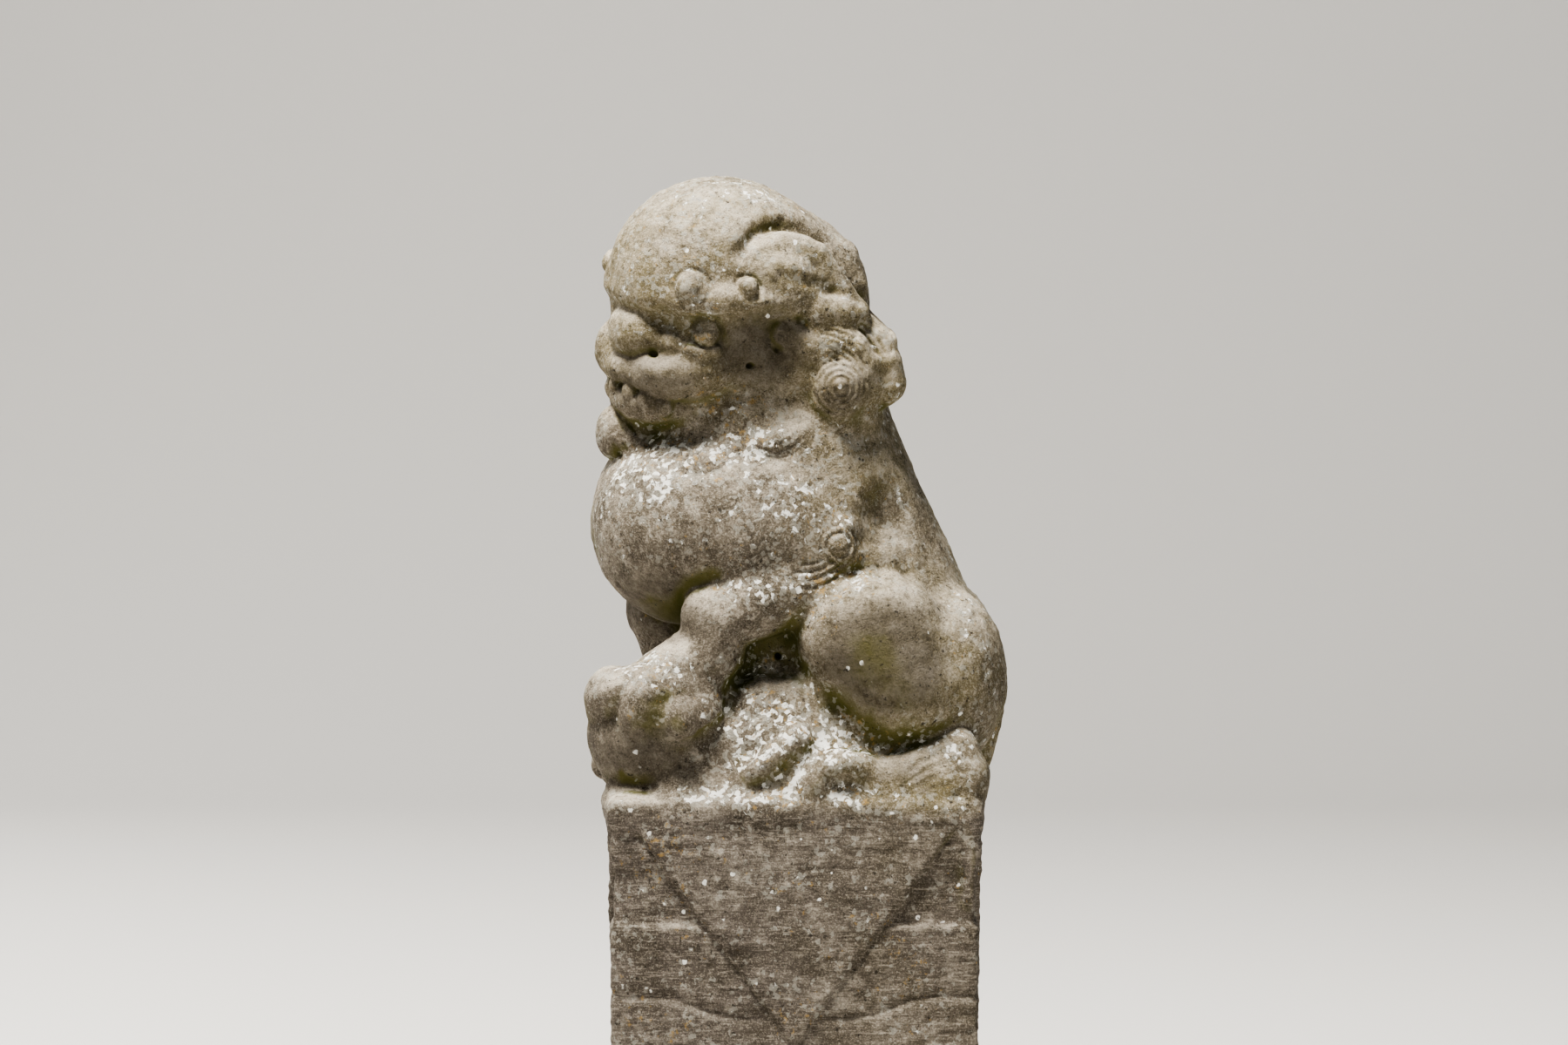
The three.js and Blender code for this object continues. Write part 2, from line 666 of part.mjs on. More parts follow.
// A smallest-first queue of edges.
class Queue {
  constructor() {
    this.items = [];
  }

  push(item) {
    const { items } = this;
    let n = items.length;
    items.push(item);
    while (n > 0) {
      const parent = (n - 1) >> 1;
      if (items[parent].cost <= item.cost) {
        break;
      }
      items[n] = items[parent];
      n = parent;
    }
    items[n] = item;
  }

  pop() {
    const { items } = this;
    const top = items[0];
    const last = items.pop();
    if (items.length > 0) {
      let n = 0;
      for (;;) {
        let child = 2 * n + 1;
        if (child >= items.length) {
          break;
        }
        if (child + 1 < items.length && items[child + 1].cost < items[child].cost) {
          child += 1;
        }
        if (items[child].cost >= last.cost) {
          break;
        }
        items[n] = items[child];
        n = child;
      }
      items[n] = last;
    }
    return top;
  }
}

// Thins a closed surface by joining the two ends of one edge at a time, cheapest first.
// The cost of a new point is the sum of its squared distances to the planes that meet
// there, weighted by their areas. An edge is left alone where joining it would fold a
// triangle over or pinch the surface.
function thinned({ points, triangles }, wanted) {
  const faces = triangles.map((t) => [...t]);
  const alive = faces.map(() => true);
  const around = points.map(() => new Set());
  const stamp = new Int32Array(points.length);
  const planes = points.map(() => new Float64Array(10));
  const normalOf = (a, b, c) => cross(less(b, a), less(c, a));

  faces.forEach((face, n) => {
    const corners = face.map((i) => points[i]);
    const normal = normalOf(...corners);
    const twiceArea = Math.hypot(...normal);
    face.forEach((i) => around[i].add(n));
    if (twiceArea > 0) {
      const [a, b, c] = scaled(normal, 1 / twiceArea);
      const d = -dot([a, b, c], corners[0]);
      const terms = [a * a, a * b, a * c, a * d, b * b, b * c, b * d, c * c, c * d, d * d];
      face.forEach((i) => {
        const weight = (twiceArea / 6) * careAt(points[i]);
        terms.forEach((term, m) => {
          planes[i][m] += term * weight;
        });
      });
    }
  });

  const costAt = (q, [x, y, z]) => {
    return q[0] * x * x + 2 * q[1] * x * y + 2 * q[2] * x * z + 2 * q[3] * x + q[4] * y * y
      + 2 * q[5] * y * z + 2 * q[6] * y + q[7] * z * z + 2 * q[8] * z + q[9];
  };

  const bestPoint = (q, a, b) => {
    const middle = scaled(sum(a, b), 0.5);
    const rows = [[q[0], q[1], q[2]], [q[1], q[4], q[5]], [q[2], q[5], q[7]]];
    const crossed = [cross(rows[1], rows[2]), cross(rows[2], rows[0]), cross(rows[0], rows[1])];
    const size = dot(rows[0], crossed[0]);
    const scale = (q[0] + q[4] + q[7]) / 3;
    const choices = [middle, a, b];
    if (Math.abs(size) > LEAST_SOLVABLE * scale ** 3) {
      const right = [-q[3], -q[6], -q[8]];
      const solved = [0, 1, 2].map((i) => dot([crossed[0][i], crossed[1][i], crossed[2][i]], right) / size);
      if (distance2(solved, middle) < FARTHEST_SOLVED * distance2(a, b)) {
        choices.unshift(solved);
      }
    }
    let best = choices[0];
    for (const choice of choices) {
      if (costAt(q, choice) < costAt(q, best) - 1e-9) {
        best = choice;
      }
    }
    return best;
  };

  const queue = new Queue();
  const offer = (i, j) => {
    const q = planes[i].map((v, m) => v + planes[j][m]);
    const point = bestPoint(q, points[i], points[j]);
    const cost = Math.max(costAt(q, point), 0) + EDGE_LENGTH_COST * distance2(points[i], points[j]);
    queue.push({ cost, i, j, point, marks: stamp[i] + stamp[j] });
  };
  const neighbours = (i) => {
    const found = new Set();
    for (const n of around[i]) {
      for (const m of faces[n]) {
        if (m !== i) {
          found.add(m);
        }
      }
    }
    return found;
  };
  points.forEach((_, i) => {
    for (const j of neighbours(i)) {
      if (i < j) {
        offer(i, j);
      }
    }
  });

  const folds = (moved, other, point) => {
    for (const n of around[moved]) {
      if (!faces[n].includes(other)) {
        const before = faces[n].map((m) => points[m]);
        const after = faces[n].map((m) => (m === moved ? point : points[m]));
        const was = normalOf(...before);
        const now = normalOf(...after);
        const sizes = Math.hypot(...was) * Math.hypot(...now);
        const longest = Math.max(distance2(after[0], after[1]), distance2(after[1], after[2]),
          distance2(after[2], after[0]));
        if (dot(was, now) < LEAST_TURN_COSINE * sizes || Math.hypot(...now) < LEAST_SLENDERNESS * longest) {
          return true;
        }
      }
    }
    return false;
  };

  let left = faces.length;
  const gone = new Uint8Array(points.length);
  while (left > wanted && queue.items.length > 0) {
    const { i, j, point, marks } = queue.pop();
    if (gone[i] || gone[j] || marks !== stamp[i] + stamp[j]) {
      continue;
    }
    const first = neighbours(i);
    const shared = [...neighbours(j)].filter((m) => first.has(m));
    if (shared.length !== 2 || folds(i, j, point) || folds(j, i, point)) {
      continue;
    }
    points[i] = point;
    gone[j] = 1;
    for (let m = 0; m < 10; m += 1) {
      planes[i][m] += planes[j][m];
    }
    for (const n of around[j]) {
      if (faces[n].includes(i)) {
        alive[n] = false;
        left -= 1;
        faces[n].forEach((m) => around[m].delete(n));
      } else {
        faces[n] = faces[n].map((m) => (m === j ? i : m));
        around[i].add(n);
      }
    }
    stamp[i] += 1;
    for (const m of neighbours(i)) {
      offer(i, m);
    }
  }
  return { points, triangles: faces.filter((_, n) => alive[n]) };
}

function solidMesh(surface, name, colour) {
  const renumbered = new Map();
  const positions = [];
  const indices = [];
  for (const triangle of surface.triangles) {
    for (const corner of triangle) {
      if (!renumbered.has(corner)) {
        renumbered.set(corner, renumbered.size);
        positions.push(...surface.points[corner]);
      }
      indices.push(renumbered.get(corner));
    }
  }
  const geometry = new THREE.BufferGeometry();
  geometry.setAttribute("position", new THREE.Float32BufferAttribute(positions, 3));
  geometry.setIndex(indices);
  geometry.computeVertexNormals();
  const stone = new THREE.MeshStandardMaterial({ color: colour, roughness: 0.92, metalness: 0 });
  const mesh = new THREE.Mesh(geometry, stone);
  mesh.name = name;
  return mesh;
}

// The lowest points lie exactly in the underside.
function settled({ points, triangles }) {
  const level = ([x, y, z]) => [x, y, Math.abs(z) < UNDERSIDE_SNAP ? 0 : z];
  return { points: points.map(level), triangles };
}

function build() {
  const stone = carvedStone();
  clearPinches(stone);
  const surface = settled(thinned(surfaceOf(stone), TRIANGLES_KEPT));
  const group = new THREE.Group();
  group.name = "stone_guardian_lion";
  group.add(solidMesh(surface, "guardian_lion_on_block", STONE_COLOUR));
  return group;
}

export default build();
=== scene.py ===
"""Looks of the stone guardian lion: weathered, lichened stone carved from named forms.

The carving is a field of distances to the stone's skin. Each named form, a ball, a limb or a
groove, is joined to that field or taken from it with a soft edge. The skin is then drawn through
the places where the field is zero, roughened by weather, and given one stone material.
"""
from itertools import product

import bpy
import numpy as np
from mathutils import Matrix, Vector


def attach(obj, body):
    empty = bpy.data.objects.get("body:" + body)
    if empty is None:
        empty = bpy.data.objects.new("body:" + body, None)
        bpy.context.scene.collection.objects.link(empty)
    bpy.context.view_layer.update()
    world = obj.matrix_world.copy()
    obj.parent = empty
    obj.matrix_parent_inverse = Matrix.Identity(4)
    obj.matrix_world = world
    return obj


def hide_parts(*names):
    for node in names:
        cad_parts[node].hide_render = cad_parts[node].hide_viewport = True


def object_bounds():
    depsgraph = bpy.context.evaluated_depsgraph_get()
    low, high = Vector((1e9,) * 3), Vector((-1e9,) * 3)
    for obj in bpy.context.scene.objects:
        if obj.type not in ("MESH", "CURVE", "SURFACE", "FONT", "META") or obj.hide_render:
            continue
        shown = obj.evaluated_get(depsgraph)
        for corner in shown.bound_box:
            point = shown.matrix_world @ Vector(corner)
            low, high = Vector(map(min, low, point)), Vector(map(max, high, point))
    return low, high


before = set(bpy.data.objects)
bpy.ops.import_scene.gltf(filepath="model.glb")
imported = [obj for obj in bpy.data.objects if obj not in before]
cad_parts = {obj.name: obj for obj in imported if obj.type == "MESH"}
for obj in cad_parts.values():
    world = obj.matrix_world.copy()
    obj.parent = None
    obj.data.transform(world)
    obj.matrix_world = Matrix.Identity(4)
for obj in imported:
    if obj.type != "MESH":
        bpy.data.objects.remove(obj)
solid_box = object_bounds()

LION = "guardian_lion_on_block"
METRES = 0.001

# Field of distances, in millimetres
FAR_AWAY = 60.0
CELL = 1.0
MARGIN = 6.0
OFF_CENTRE = 1e-4
TRIANGLES_KEPT = 192000


def smooth_step(start, end, value):
    """0 below start, 1 above end, and 3t^2 - 2t^3 between them."""
    t = np.clip((value - start) / (end - start), 0, 1)
    return t * t * (3 - 2 * t)


def unit(vector):
    """The vector divided by its own length."""
    vector = np.asarray(vector, float)
    return vector / np.linalg.norm(vector)


def turned(turn):
    """Rotation matrix for turns in degrees about x, then y, then z."""
    ax, ay, az = np.radians(turn)
    about_x = np.array([[1, 0, 0], [0, np.cos(ax), -np.sin(ax)], [0, np.sin(ax), np.cos(ax)]])
    about_y = np.array([[np.cos(ay), 0, np.sin(ay)], [0, 1, 0], [-np.sin(ay), 0, np.cos(ay)]])
    about_z = np.array([[np.cos(az), -np.sin(az), 0], [np.sin(az), np.cos(az), 0], [0, 0, 1]])
    return about_z @ about_y @ about_x


def joined(a, b, soft):
    """The smaller of two distances, rounded over a band: min(a, b) - (soft - |a - b|)^2 / 4 soft."""
    overlap = np.maximum(soft - np.abs(a - b), 0)
    return np.minimum(a, b) - overlap * overlap / (4 * soft)


def nearest_on(path, x, y, z):
    """For each leg of a path: the offset of a point from the leg, and how far along it that is."""
    for start, end in zip(path[:-1], path[1:]):
        leg = end - start
        px, py, pz = x - start[0], y - start[1], z - start[2]
        along = np.clip((px * leg[0] + py * leg[1] + pz * leg[2]) / (leg @ leg), 0, 1)
        yield px - along * leg[0], py - along * leg[1], pz - along * leg[2], along


class Axes:
    """A place and three directions, given as rows, in which forms are written."""

    def __init__(self, origin=(0, 0, 0), rows=np.eye(3)):
        self.origin = np.asarray(origin, float)
        self.rows = np.asarray(rows, float)


class Stone:
    """A block of field values on a regular grid, carved form by form."""

    def __init__(self, low, high, cell):
        self.low = np.array(low, float)
        self.cell = cell
        self.shape = [int(np.ceil((b - a) / cell)) + 1 for a, b in zip(low, high)]
        self.lines = [
            (a + cell * np.arange(n)).astype(np.float32) for a, n in zip(self.low, self.shape)
        ]
        self.field = np.full(self.shape, FAR_AWAY, np.float32)
        self.axes = Axes()
        self.side = 1

    def place(self, point):
        """A point of the current axes, mirrored to the current side, in the object's frame."""
        return self.axes.origin + (np.array(point, float) * (1, self.side, 1)) @ self.axes.rows

    def direction(self, vector):
        """A direction of the current axes, mirrored to the current side, in the object's frame."""
        return (np.array(vector, float) * (1, self.side, 1)) @ self.axes.rows

    def work(self, low, high, distance, soft, how):
        """Join, take or add a form's values on the part of the grid that it can reach."""
        reach = soft + 3 * self.cell
        part = []
        for axis in range(3):
            first = int(np.floor((low[axis] - reach - self.low[axis]) / self.cell))
            last = int(np.ceil((high[axis] + reach - self.low[axis]) / self.cell)) + 1
            part.append(slice(max(first, 0), max(min(last, self.shape[axis]), 0)))
        part = tuple(part)
        if any(run.stop <= run.start for run in part):
            return
        x = self.lines[0][part[0]][:, None, None]
        y = self.lines[1][part[1]][None, :, None]
        z = self.lines[2][part[2]][None, None, :]
        form = distance(x, y, z)
        before = self.field[part]
        if how == "add":
            self.field[part] = before + form
        elif how == "take":
            self.field[part] = -joined(-before, form, soft)
        else:
            self.field[part] = joined(before, form, soft)

    def ball(self, at, radii, turn, soft, take):
        """Ellipsoid: with k = |q / r| and g = |q / r^2|, the distance is about k (k - 1) / g."""
        centre = self.place(at)
        rows = np.array([self.direction(row) for row in turned(turn).T])
        reach = np.sqrt(((rows * np.array(radii)[:, None]) ** 2).sum(axis=0))

        def distance(x, y, z):
            offset = (x - centre[0], y - centre[1], z - centre[2])
            scaled, steep = 0, 0
            for row, radius in zip(rows, radii):
                q = sum(o * r for o, r in zip(offset, row)) / radius
                scaled = scaled + q * q
                steep = steep + (q / radius) ** 2
            scaled = np.sqrt(scaled) + OFF_CENTRE
            return scaled * (scaled - 1) / np.sqrt(steep + 1e-12)

        self.work(centre - reach, centre + reach, distance, soft, "take" if take else "join")

    def limb(self, path, radii, soft, squash, take):
        """Round rod along a path whose radius changes evenly on each leg; squash widens it in y."""
        points = np.array([self.place(point) for point in path])
        across = self.direction((0, 1, 0))
        widest = max(radii) * max(1, squash)

        def distance(x, y, z):
            best = FAR_AWAY
            for leg, (qx, qy, qz, along) in enumerate(nearest_on(points, x, y, z)):
                spread = qx * qx + qy * qy + qz * qz
                if squash != 1:
                    sideways = qx * across[0] + qy * across[1] + qz * across[2]
                    spread = spread - sideways ** 2 * (1 - 1 / squash ** 2)
                radius = radii[leg] + along * (radii[leg + 1] - radii[leg])
                best = np.minimum(best, np.sqrt(spread) - radius)
            return best

        self.work(points.min(0) - widest, points.max(0) + widest, distance, soft,
                  "take" if take else "join")

    def groove(self, path, width, depth):
        """Soft channel along a path: the skin sinks by depth exp(-(distance / width)^2)."""
        points = np.array([self.place(point) for point in path])

        def sink(x, y, z):
            nearest = 1e9
            for qx, qy, qz, along in nearest_on(points, x, y, z):
                nearest = np.minimum(nearest, qx * qx + qy * qy + qz * qz)
            return depth * np.exp(-nearest / width ** 2)

        reach = 2.5 * width
        self.work(points.min(0) - reach, points.max(0) + reach, sink, 0, "add")

    def strands(self, at, radii, turn, pitch, depth, bend, fan):
        """Combed hair inside an ellipsoid: sinks by depth (1 - cos(2 pi s / pitch)) / 2 and fades at
        its edge, where s is the offset across the comb plus bend times the square of that along it.
        """
        centre = self.place(at)
        rows = np.array([self.direction(row) for row in turned(turn).T])
        reach = np.sqrt(((rows * np.array(radii)[:, None]) ** 2).sum(axis=0))

        def sink(x, y, z):
            offset = (x - centre[0], y - centre[1], z - centre[2])
            along, across, deep = (sum(o * r for o, r in zip(offset, row)) for row in rows)
            inside = (along / radii[0]) ** 2 + (across / radii[1]) ** 2 + (deep / radii[2]) ** 2
            comb = (across + bend * along * along) / (1 + fan * along)
            return depth * (0.5 - 0.5 * np.cos(2 * np.pi * comb / pitch)) * smooth_step(0, 0.45, 1 - inside)

        self.work(centre - reach, centre + reach, sink, 0, "add")

    def rings(self, at, facing, start, end, pitch, depth):
        """Rings cut round a facing direction: depth (1 - cos(2 pi rho / pitch)) / 2 from start to end."""
        centre = self.place(at)
        out = unit(self.direction(facing))

        def sink(x, y, z):
            offset = (x - centre[0], y - centre[1], z - centre[2])
            w = sum(o * d for o, d in zip(offset, out))
            rho = np.sqrt(np.maximum(sum(o * o for o in offset) - w * w, 0))
            shown = smooth_step(start - pitch / 2, start + pitch / 2, rho) * smooth_step(0, pitch, end - rho)
            return depth * (0.5 - 0.5 * np.cos(2 * np.pi * (rho - start) / pitch)) * shown

        self.work(centre - end, centre + end, sink, 0, "add")

    def lay(self, form):
        """Carve one named form."""
        values = {name: value for name, value in form.items() if name != "kind"}
        getattr(self, form["kind"])(**values)

    def lay_group(self, group, pair=False):
        """Carve a group of named forms, each on both sides where it is one of a pair."""
        for form in group.values():
            for side in (1, -1) if pair else (1,):
                self.side = side
                self.lay(form)
        self.side = 1


# Named forms, in millimetres, near flank toward -Y and face toward -X

def ball(at, radii, turn=(0, 0, 0), soft=6, take=False):
    return dict(kind="ball", at=at, radii=radii, turn=turn, soft=soft, take=take)


def limb(path, radii, soft=6, squash=1.0, take=False):
    return dict(kind="limb", path=path, radii=radii, soft=soft, squash=squash, take=take)


def groove(path, width, depth):
    return dict(kind="groove", path=path, width=width, depth=depth)


TORSO = {
    "chest barrel": ball((-56, 0, 341), (61, 71, 61), soft=6),
    "back": limb([(13, 0, 378), (54, 0, 278)], [48, 51], soft=14, squash=1.2),
    "rump": ball((68, 0, 246), (49, 74, 55), soft=12),
    "neck root": ball((-20, 0, 384), (66, 58, 30), soft=12),
    "belly": ball((4, 0, 272), (62, 46, 48), soft=8),
}

FLANKS = {
    "shoulder": ball((-22, -34, 345), (60, 43, 40), soft=12),
    "upper arm": limb([(-24, -50, 328), (22, -54, 328)], [25, 17], soft=12),
    "elbow knob": ball((25, -59, 331), (14, 12, 14), soft=4),
    "thigh": ball((43, -55, 277), (43, 36, 39), soft=4),
    "calf": ball((61, -57, 249), (32, 32, 30), soft=16),
    "hip": ball((92, -34, 254), (28, 36, 46), soft=14),
    "flank hollow": limb([(69, -54, 362), (57, -57, 348), (44, -67, 334)], [13, 16, 6], soft=11, take=True),
}

HIND_FEET = {
    "foot": limb([(98, -62, 200), (60, -66, 198), (24, -70, 196)], [13, 12, 11], soft=9),
    "heel tuft": limb([(48, -76, 195), (70, -74, 206), (91, -67, 213)], [9, 12, 13.5], soft=6),
    "arched toe": limb([(10, -83, 196), (18, -83, 204), (28, -82, 208), (38, -80, 206), (46, -77, 197)],
                       [7, 7.5, 8.5, 8, 7], soft=6),
    "arched toe hollow": ball((28, -94, 197), (12, 9, 5.5), turn=(0, 12, 0), soft=4, take=True),
    "long toe": limb([(-24, -82, 203), (-12, -80, 211), (2, -76, 221)], [5.5, 8.5, 9], soft=5),
    "toe cut": limb([(-20, -92, 199), (-7, -91, 206), (7, -88, 216)], [3.5, 5, 3], soft=3, take=True),
    "heel lobe": ball((98, -71, 194), (11, 13, 10), soft=8),
    "heel notch": ball((112, -76, 205), (6, 9, 5), soft=4, take=True),
    "tuft body": ball((78, -74, 196), (32, 15, 17), turn=(0, -16, 0), soft=5),
    "foot front": ball((10, -68, 202), (30, 14, 16), turn=(0, -6, 0), soft=8),
}

NEAR_FORELEG = {
    "forearm": limb([(12, -54, 311), (-20, -57, 299), (-43, -61, 287), (-48, -60, 270), (-60, -58, 258)],
                    [19, 22, 19, 20, 20], soft=8),
    "ball under the paw": ball((-80, -47, 222), (38, 37, 37), soft=7),
    "paw back": ball((-79, -60, 249), (38, 30, 16), turn=(0, -5, 0), soft=8),
    "first toe": ball((-105, -58, 243), (14, 17, 18), soft=5),
    "second toe": ball((-87, -73, 239), (15, 18, 19), soft=4),
    "third toe": ball((-66, -77, 234), (15, 16, 17), soft=4),
    "inner toe": ball((-108, -38, 245), (10, 11, 14), soft=5),
    "knee corner": ball((-50, -61, 291), (13, 13, 13), soft=6),
    "fourth toe": ball((-54, -70, 238), (14, 15, 15), turn=(0, 25, 0), soft=5),
    "wrist": ball((-66, -59, 262), (18, 22, 11), soft=12),
}

FAR_FORELEG = {
    "forearm": limb([(-26, 50, 305), (-70, 50, 288), (-63, 54, 246), (-64, 56, 205)],
                    [24, 28, 19, 18], soft=6),
    "paw": ball((-82, 58, 199), (30, 26, 15), soft=6),
    "first toe": limb([(-84, 38, 202), (-104, 38, 194)], [9, 9], soft=3),
    "second toe": limb([(-86, 51, 205), (-109, 51, 196)], [10, 9], soft=3),
    "third toe": limb([(-86, 65, 205), (-109, 65, 196)], [10, 9], soft=3),
    "fourth toe": limb([(-84, 78, 202), (-102, 78, 194)], [9, 9], soft=3),
}

GROUND = {
    "mound": ball((0, 0, 184), (98, 84, 46), soft=8),
    "front bank": limb([(-93, -76, 179), (93, -76, 179)], [11.5, 11.5], soft=6),
    "wall under the forearm": ball((-10, -34, 264), (34, 20, 24), soft=10),
    "upper slope": limb([(-40, -52, 236), (-18, -57, 242), (8, -55, 241)], [14, 14, 14], soft=12),
    "middle slope": limb([(-48, -55, 213), (-10, -58, 219), (26, -52, 216), (60, -50, 205)], [22, 22, 21, 18], soft=12),
    "lower slope": limb([(-62, -60, 192), (60, -64, 190)], [22, 20], soft=10),
    "seat of the ball": limb([(-94, -56, 186), (-60, -58, 188)], [15, 16], soft=8),
}

TAIL = {
    "tail": limb([(104, 0, 205), (111, 0, 232), (111, 0, 256), (103, 0, 280), (90, 0, 300), (80, 0, 322)],
                 [9, 9.5, 9.5, 9, 8, 6], soft=4),
}

HEAD_CENTRE = (-35, -4, 468)
HEAD_TURN = 30
HEAD_TILT = 8

SKULL = {
    "brow dome": ball((11, 0, 10), (65, 59, 61), soft=6),
    "back of skull": ball((-20, 0, 4), (61, 56, 50), soft=12),
    "nape": ball((-34, 0, -20), (44, 50, 44), soft=12),
}

EYE_SOCKETS = {
    "socket": ball((46, 51, -11), (11.5, 10, 9.5), turn=(0, 0, 36), soft=5, take=True),
}

FACE = {
    "face core": ball((24, 0, -28), (42, 46, 34), soft=8),
    "nose bridge": limb([(46, 0, 0), (55, 0, -10)], [16, 16], soft=7),
    "muzzle": ball((43, 0, -37.5), (31.5, 36, 13.5), soft=8),
    "lower jaw": ball((37, 0, -57), (34.5, 35, 17), soft=3),
}

FACE_SIDES = {
    "cheek flat": ball((0, 38, -26), (28, 21, 32), soft=8),
    "brow lobe": limb([(62, 18, 5), (51, 40, 7), (36, 54, 8), (18, 60, 8), (0, 61, 4)], [9, 9, 9, 8.5, 7], soft=6),
    "cheek bag": ball((38, 31.5, -34), (22, 20, 19), soft=8),
    "lip pad": ball((51, 26.5, -36), (20, 18.5, 14), soft=7),
    "lower lid": limb([(54, 42, -20.5), (47, 47.5, -22.5), (38, 51, -20.5)], [1.8, 2.2, 1.8], soft=6),
    "eye": ball((42.5, 45.5, -10.5), (8.5, 8.5, 8.5), soft=1.5),
    "lip band": limb([(70, 0, -40), (66, 20, -43), (54, 36, -47)], [4.5, 4.5, 3.5], soft=5),
    "mouth line": limb([(80, 0, -45), (74, 20, -48), (57, 42, -53), (28, 58, -50)], [4, 4, 3.5, 2], soft=2, take=True),
    "cheek recess": ball((4, 72, -14), (17, 12, 17), soft=5, take=True),
    "cheek knob": ball((-1, 59, -9), (9.5, 7.5, 9.5), soft=2),
    "front pit": ball((17, 56, -29), (2.5, 7, 2), turn=(0, 30, 0), soft=1.5, take=True),
    "rear pit": ball((2.5, 62, -20), (2.5, 7, 3), soft=1.5, take=True),
    "brow end curl": ball((25.5, 60, 17), (6, 6.5, 6), soft=1.5),
    "brow curl": ball((54, 42, 15), (8.5, 9.5, 9), soft=2),
    "canine": ball((56, 28.5, -56), (5, 5, 6), soft=1.5),
    "front tooth": ball((67.5, 8.5, -50), (5, 5.5, 7), soft=1.5),
    "side tooth": ball((62.5, 20, -53), (5.5, 5.5, 7), soft=1.5),
    "under the brow": limb([(77, 0, -5), (71, 28, -4), (62, 40, -6), (49, 49.5, -6.5), (37, 59, -5), (26, 64, -4), (17, 68, 1), (6, 70, 3)],
                           [4, 4, 3.5, 3.5, 3.5, 3.5, 3, 3], soft=7, take=True),
}

NOSE = {
    "beside the nose": ball((68, 33, -15), (13, 14, 15), turn=(0, -20, 0), soft=8, take=True),
    "far upper lip": ball((57, -25, -28), (14, 15, 12.5), soft=8),
    "nose bulb": ball((61.5, 1.5, -17), (15.5, 23.5, 16.5), soft=2),
}

NOSE_SIDES = {
    "nostril wing": limb([(56, 24.5, -15), (52, 29, -17), (51, 32.5, -23), (54, 33.5, -28.5), (60, 30, -32)], [4, 5, 5.5, 5, 4], soft=2.5),
}

NOSTRIL = {
    "nostril": ball((63, 24, -27), (2.5, 3, 2.2), soft=2, take=True),
}

EARS = {
    "ear valley": limb([(26, 52, 36), (15, 49, 44), (3, 47, 47.5), (-9, 45, 48.5), (-21, 43, 45.5), (-31, 43, 38.5)],
                       [3.5, 5, 6, 6.5, 5.5, 4], soft=7, take=True),
    "ear leaf": ball((-7, 54, 17), (28, 16, 20), turn=(0, -26, 0), soft=6),
    "ear rim": limb([(19, 46, 28), (9, 48, 35), (-1, 50, 38), (-12, 53, 36), (-19, 55, 32), (-26, 57, 24), (-33, 60, 15), (-40, 62, 6)],
                     [6, 8, 9, 9, 9, 8.5, 8, 8], soft=4),
    "lower lobe": limb([(-6, 61, 13), (-19, 63, 3.5), (-32, 64, 2), (-42, 65, 1)], [5, 11, 11.5, 9.5], soft=3),
    "lobe undercut": limb([(-8, 74, -7), (-20, 77, -11), (-36, 78, -12)], [2.5, 3.5, 3], soft=3, take=True),
}

MANE = {
    "mane mass": ball((8, 0, 430), (50, 54, 36), soft=8),
    "throat": ball((-28, -6, 404), (46, 48, 26), soft=10),
    "crown tuft": limb([(25, -9, 491), (31, -10, 476)], [12.5, 11.5], soft=4),
}

MANE_SIDES = {
    "mane under the ear": ball((14, -44, 442), (22, 16, 14), soft=8),
    "root of the curl": ball((35, -34, 437), (15, 11, 17), soft=8),
    "hair over the curl": limb([(13, -46, 446), (24, -49, 447.5), (34, -49, 441.5), (40.5, -47, 431.5), (42.5, -44, 419), (39, -41, 407)],
                               [6, 7, 7.5, 7, 6.5, 6], soft=5),
    "big curl": ball((26, -51, 420), (17, 13, 18), soft=4),
    "curl knob": ball((26, -64, 421), (3.5, 3, 3.5), soft=1.5),
    "back lock": limb([(38, -28, 454), (46, -32, 444), (50, -34, 432), (51, -32, 421)], [8, 10.5, 11.5, 12.8], soft=5),
    "lock knob": ball((54, -34, 443.5), (5, 7, 7), soft=2),
}

TASSEL = {
    "tassel": ball((-101, -14, 392), (12, 14, 16), soft=3),
    "tassel root": ball((-89, -16, 388), (13, 16, 12), soft=8),
}

NECK_LOCKS = {
    "front lock": ball((-50, -52, 376), (15, 10, 9), turn=(0, -12, 0), soft=5),
    "rear lock": ball((-10, -52, 389), (18, 10, 8), turn=(0, -10, 0), soft=5),
}


def strands(at, radii, turn=(0, 0, 0), pitch=3.5, depth=0.8, bend=0.0, fan=0.0):
    return dict(kind="strands", at=at, radii=radii, turn=turn, pitch=pitch, depth=depth, bend=bend, fan=fan)


def rings(at, facing, start, end, pitch=3.3, depth=0.8):
    return dict(kind="rings", at=at, facing=facing, start=start, end=end, pitch=pitch, depth=depth)


FACE_LINES = {
    "ring round the brow curl": rings((57, 50, 14), (0.62, 0.78, 0.05), 8.5, 13.5, pitch=5, depth=2.0),
    "ring round the brow end knob": rings((26, 64, 17), (0.1, 1, 0.15), 5, 9.5, pitch=4.5, depth=1.2),
    "ring round the cheek knob": rings((-1, 64, -9), (0, 1, 0.1), 8.5, 12.5, pitch=4, depth=0.6),
    "swell beside the nose": ball((54, 28, -20), (8, 9, 7), soft=5),
    "line over the lip": groove([(84, 8, -37), (78, 24, -40), (64, 40, -44), (46, 52, -46)], 1.6, 1.2),
    "edge of the cheek": groove([(22, 64, -10), (19, 60, -22), (20, 58, -34), (22, 52, -46)], 2.6, 1.3),
    "ear furrow": groove([(8, 68, 24), (-3, 70, 22), (-14, 68, 20), (-24, 66, 14)], 4.5, 1.8),
}

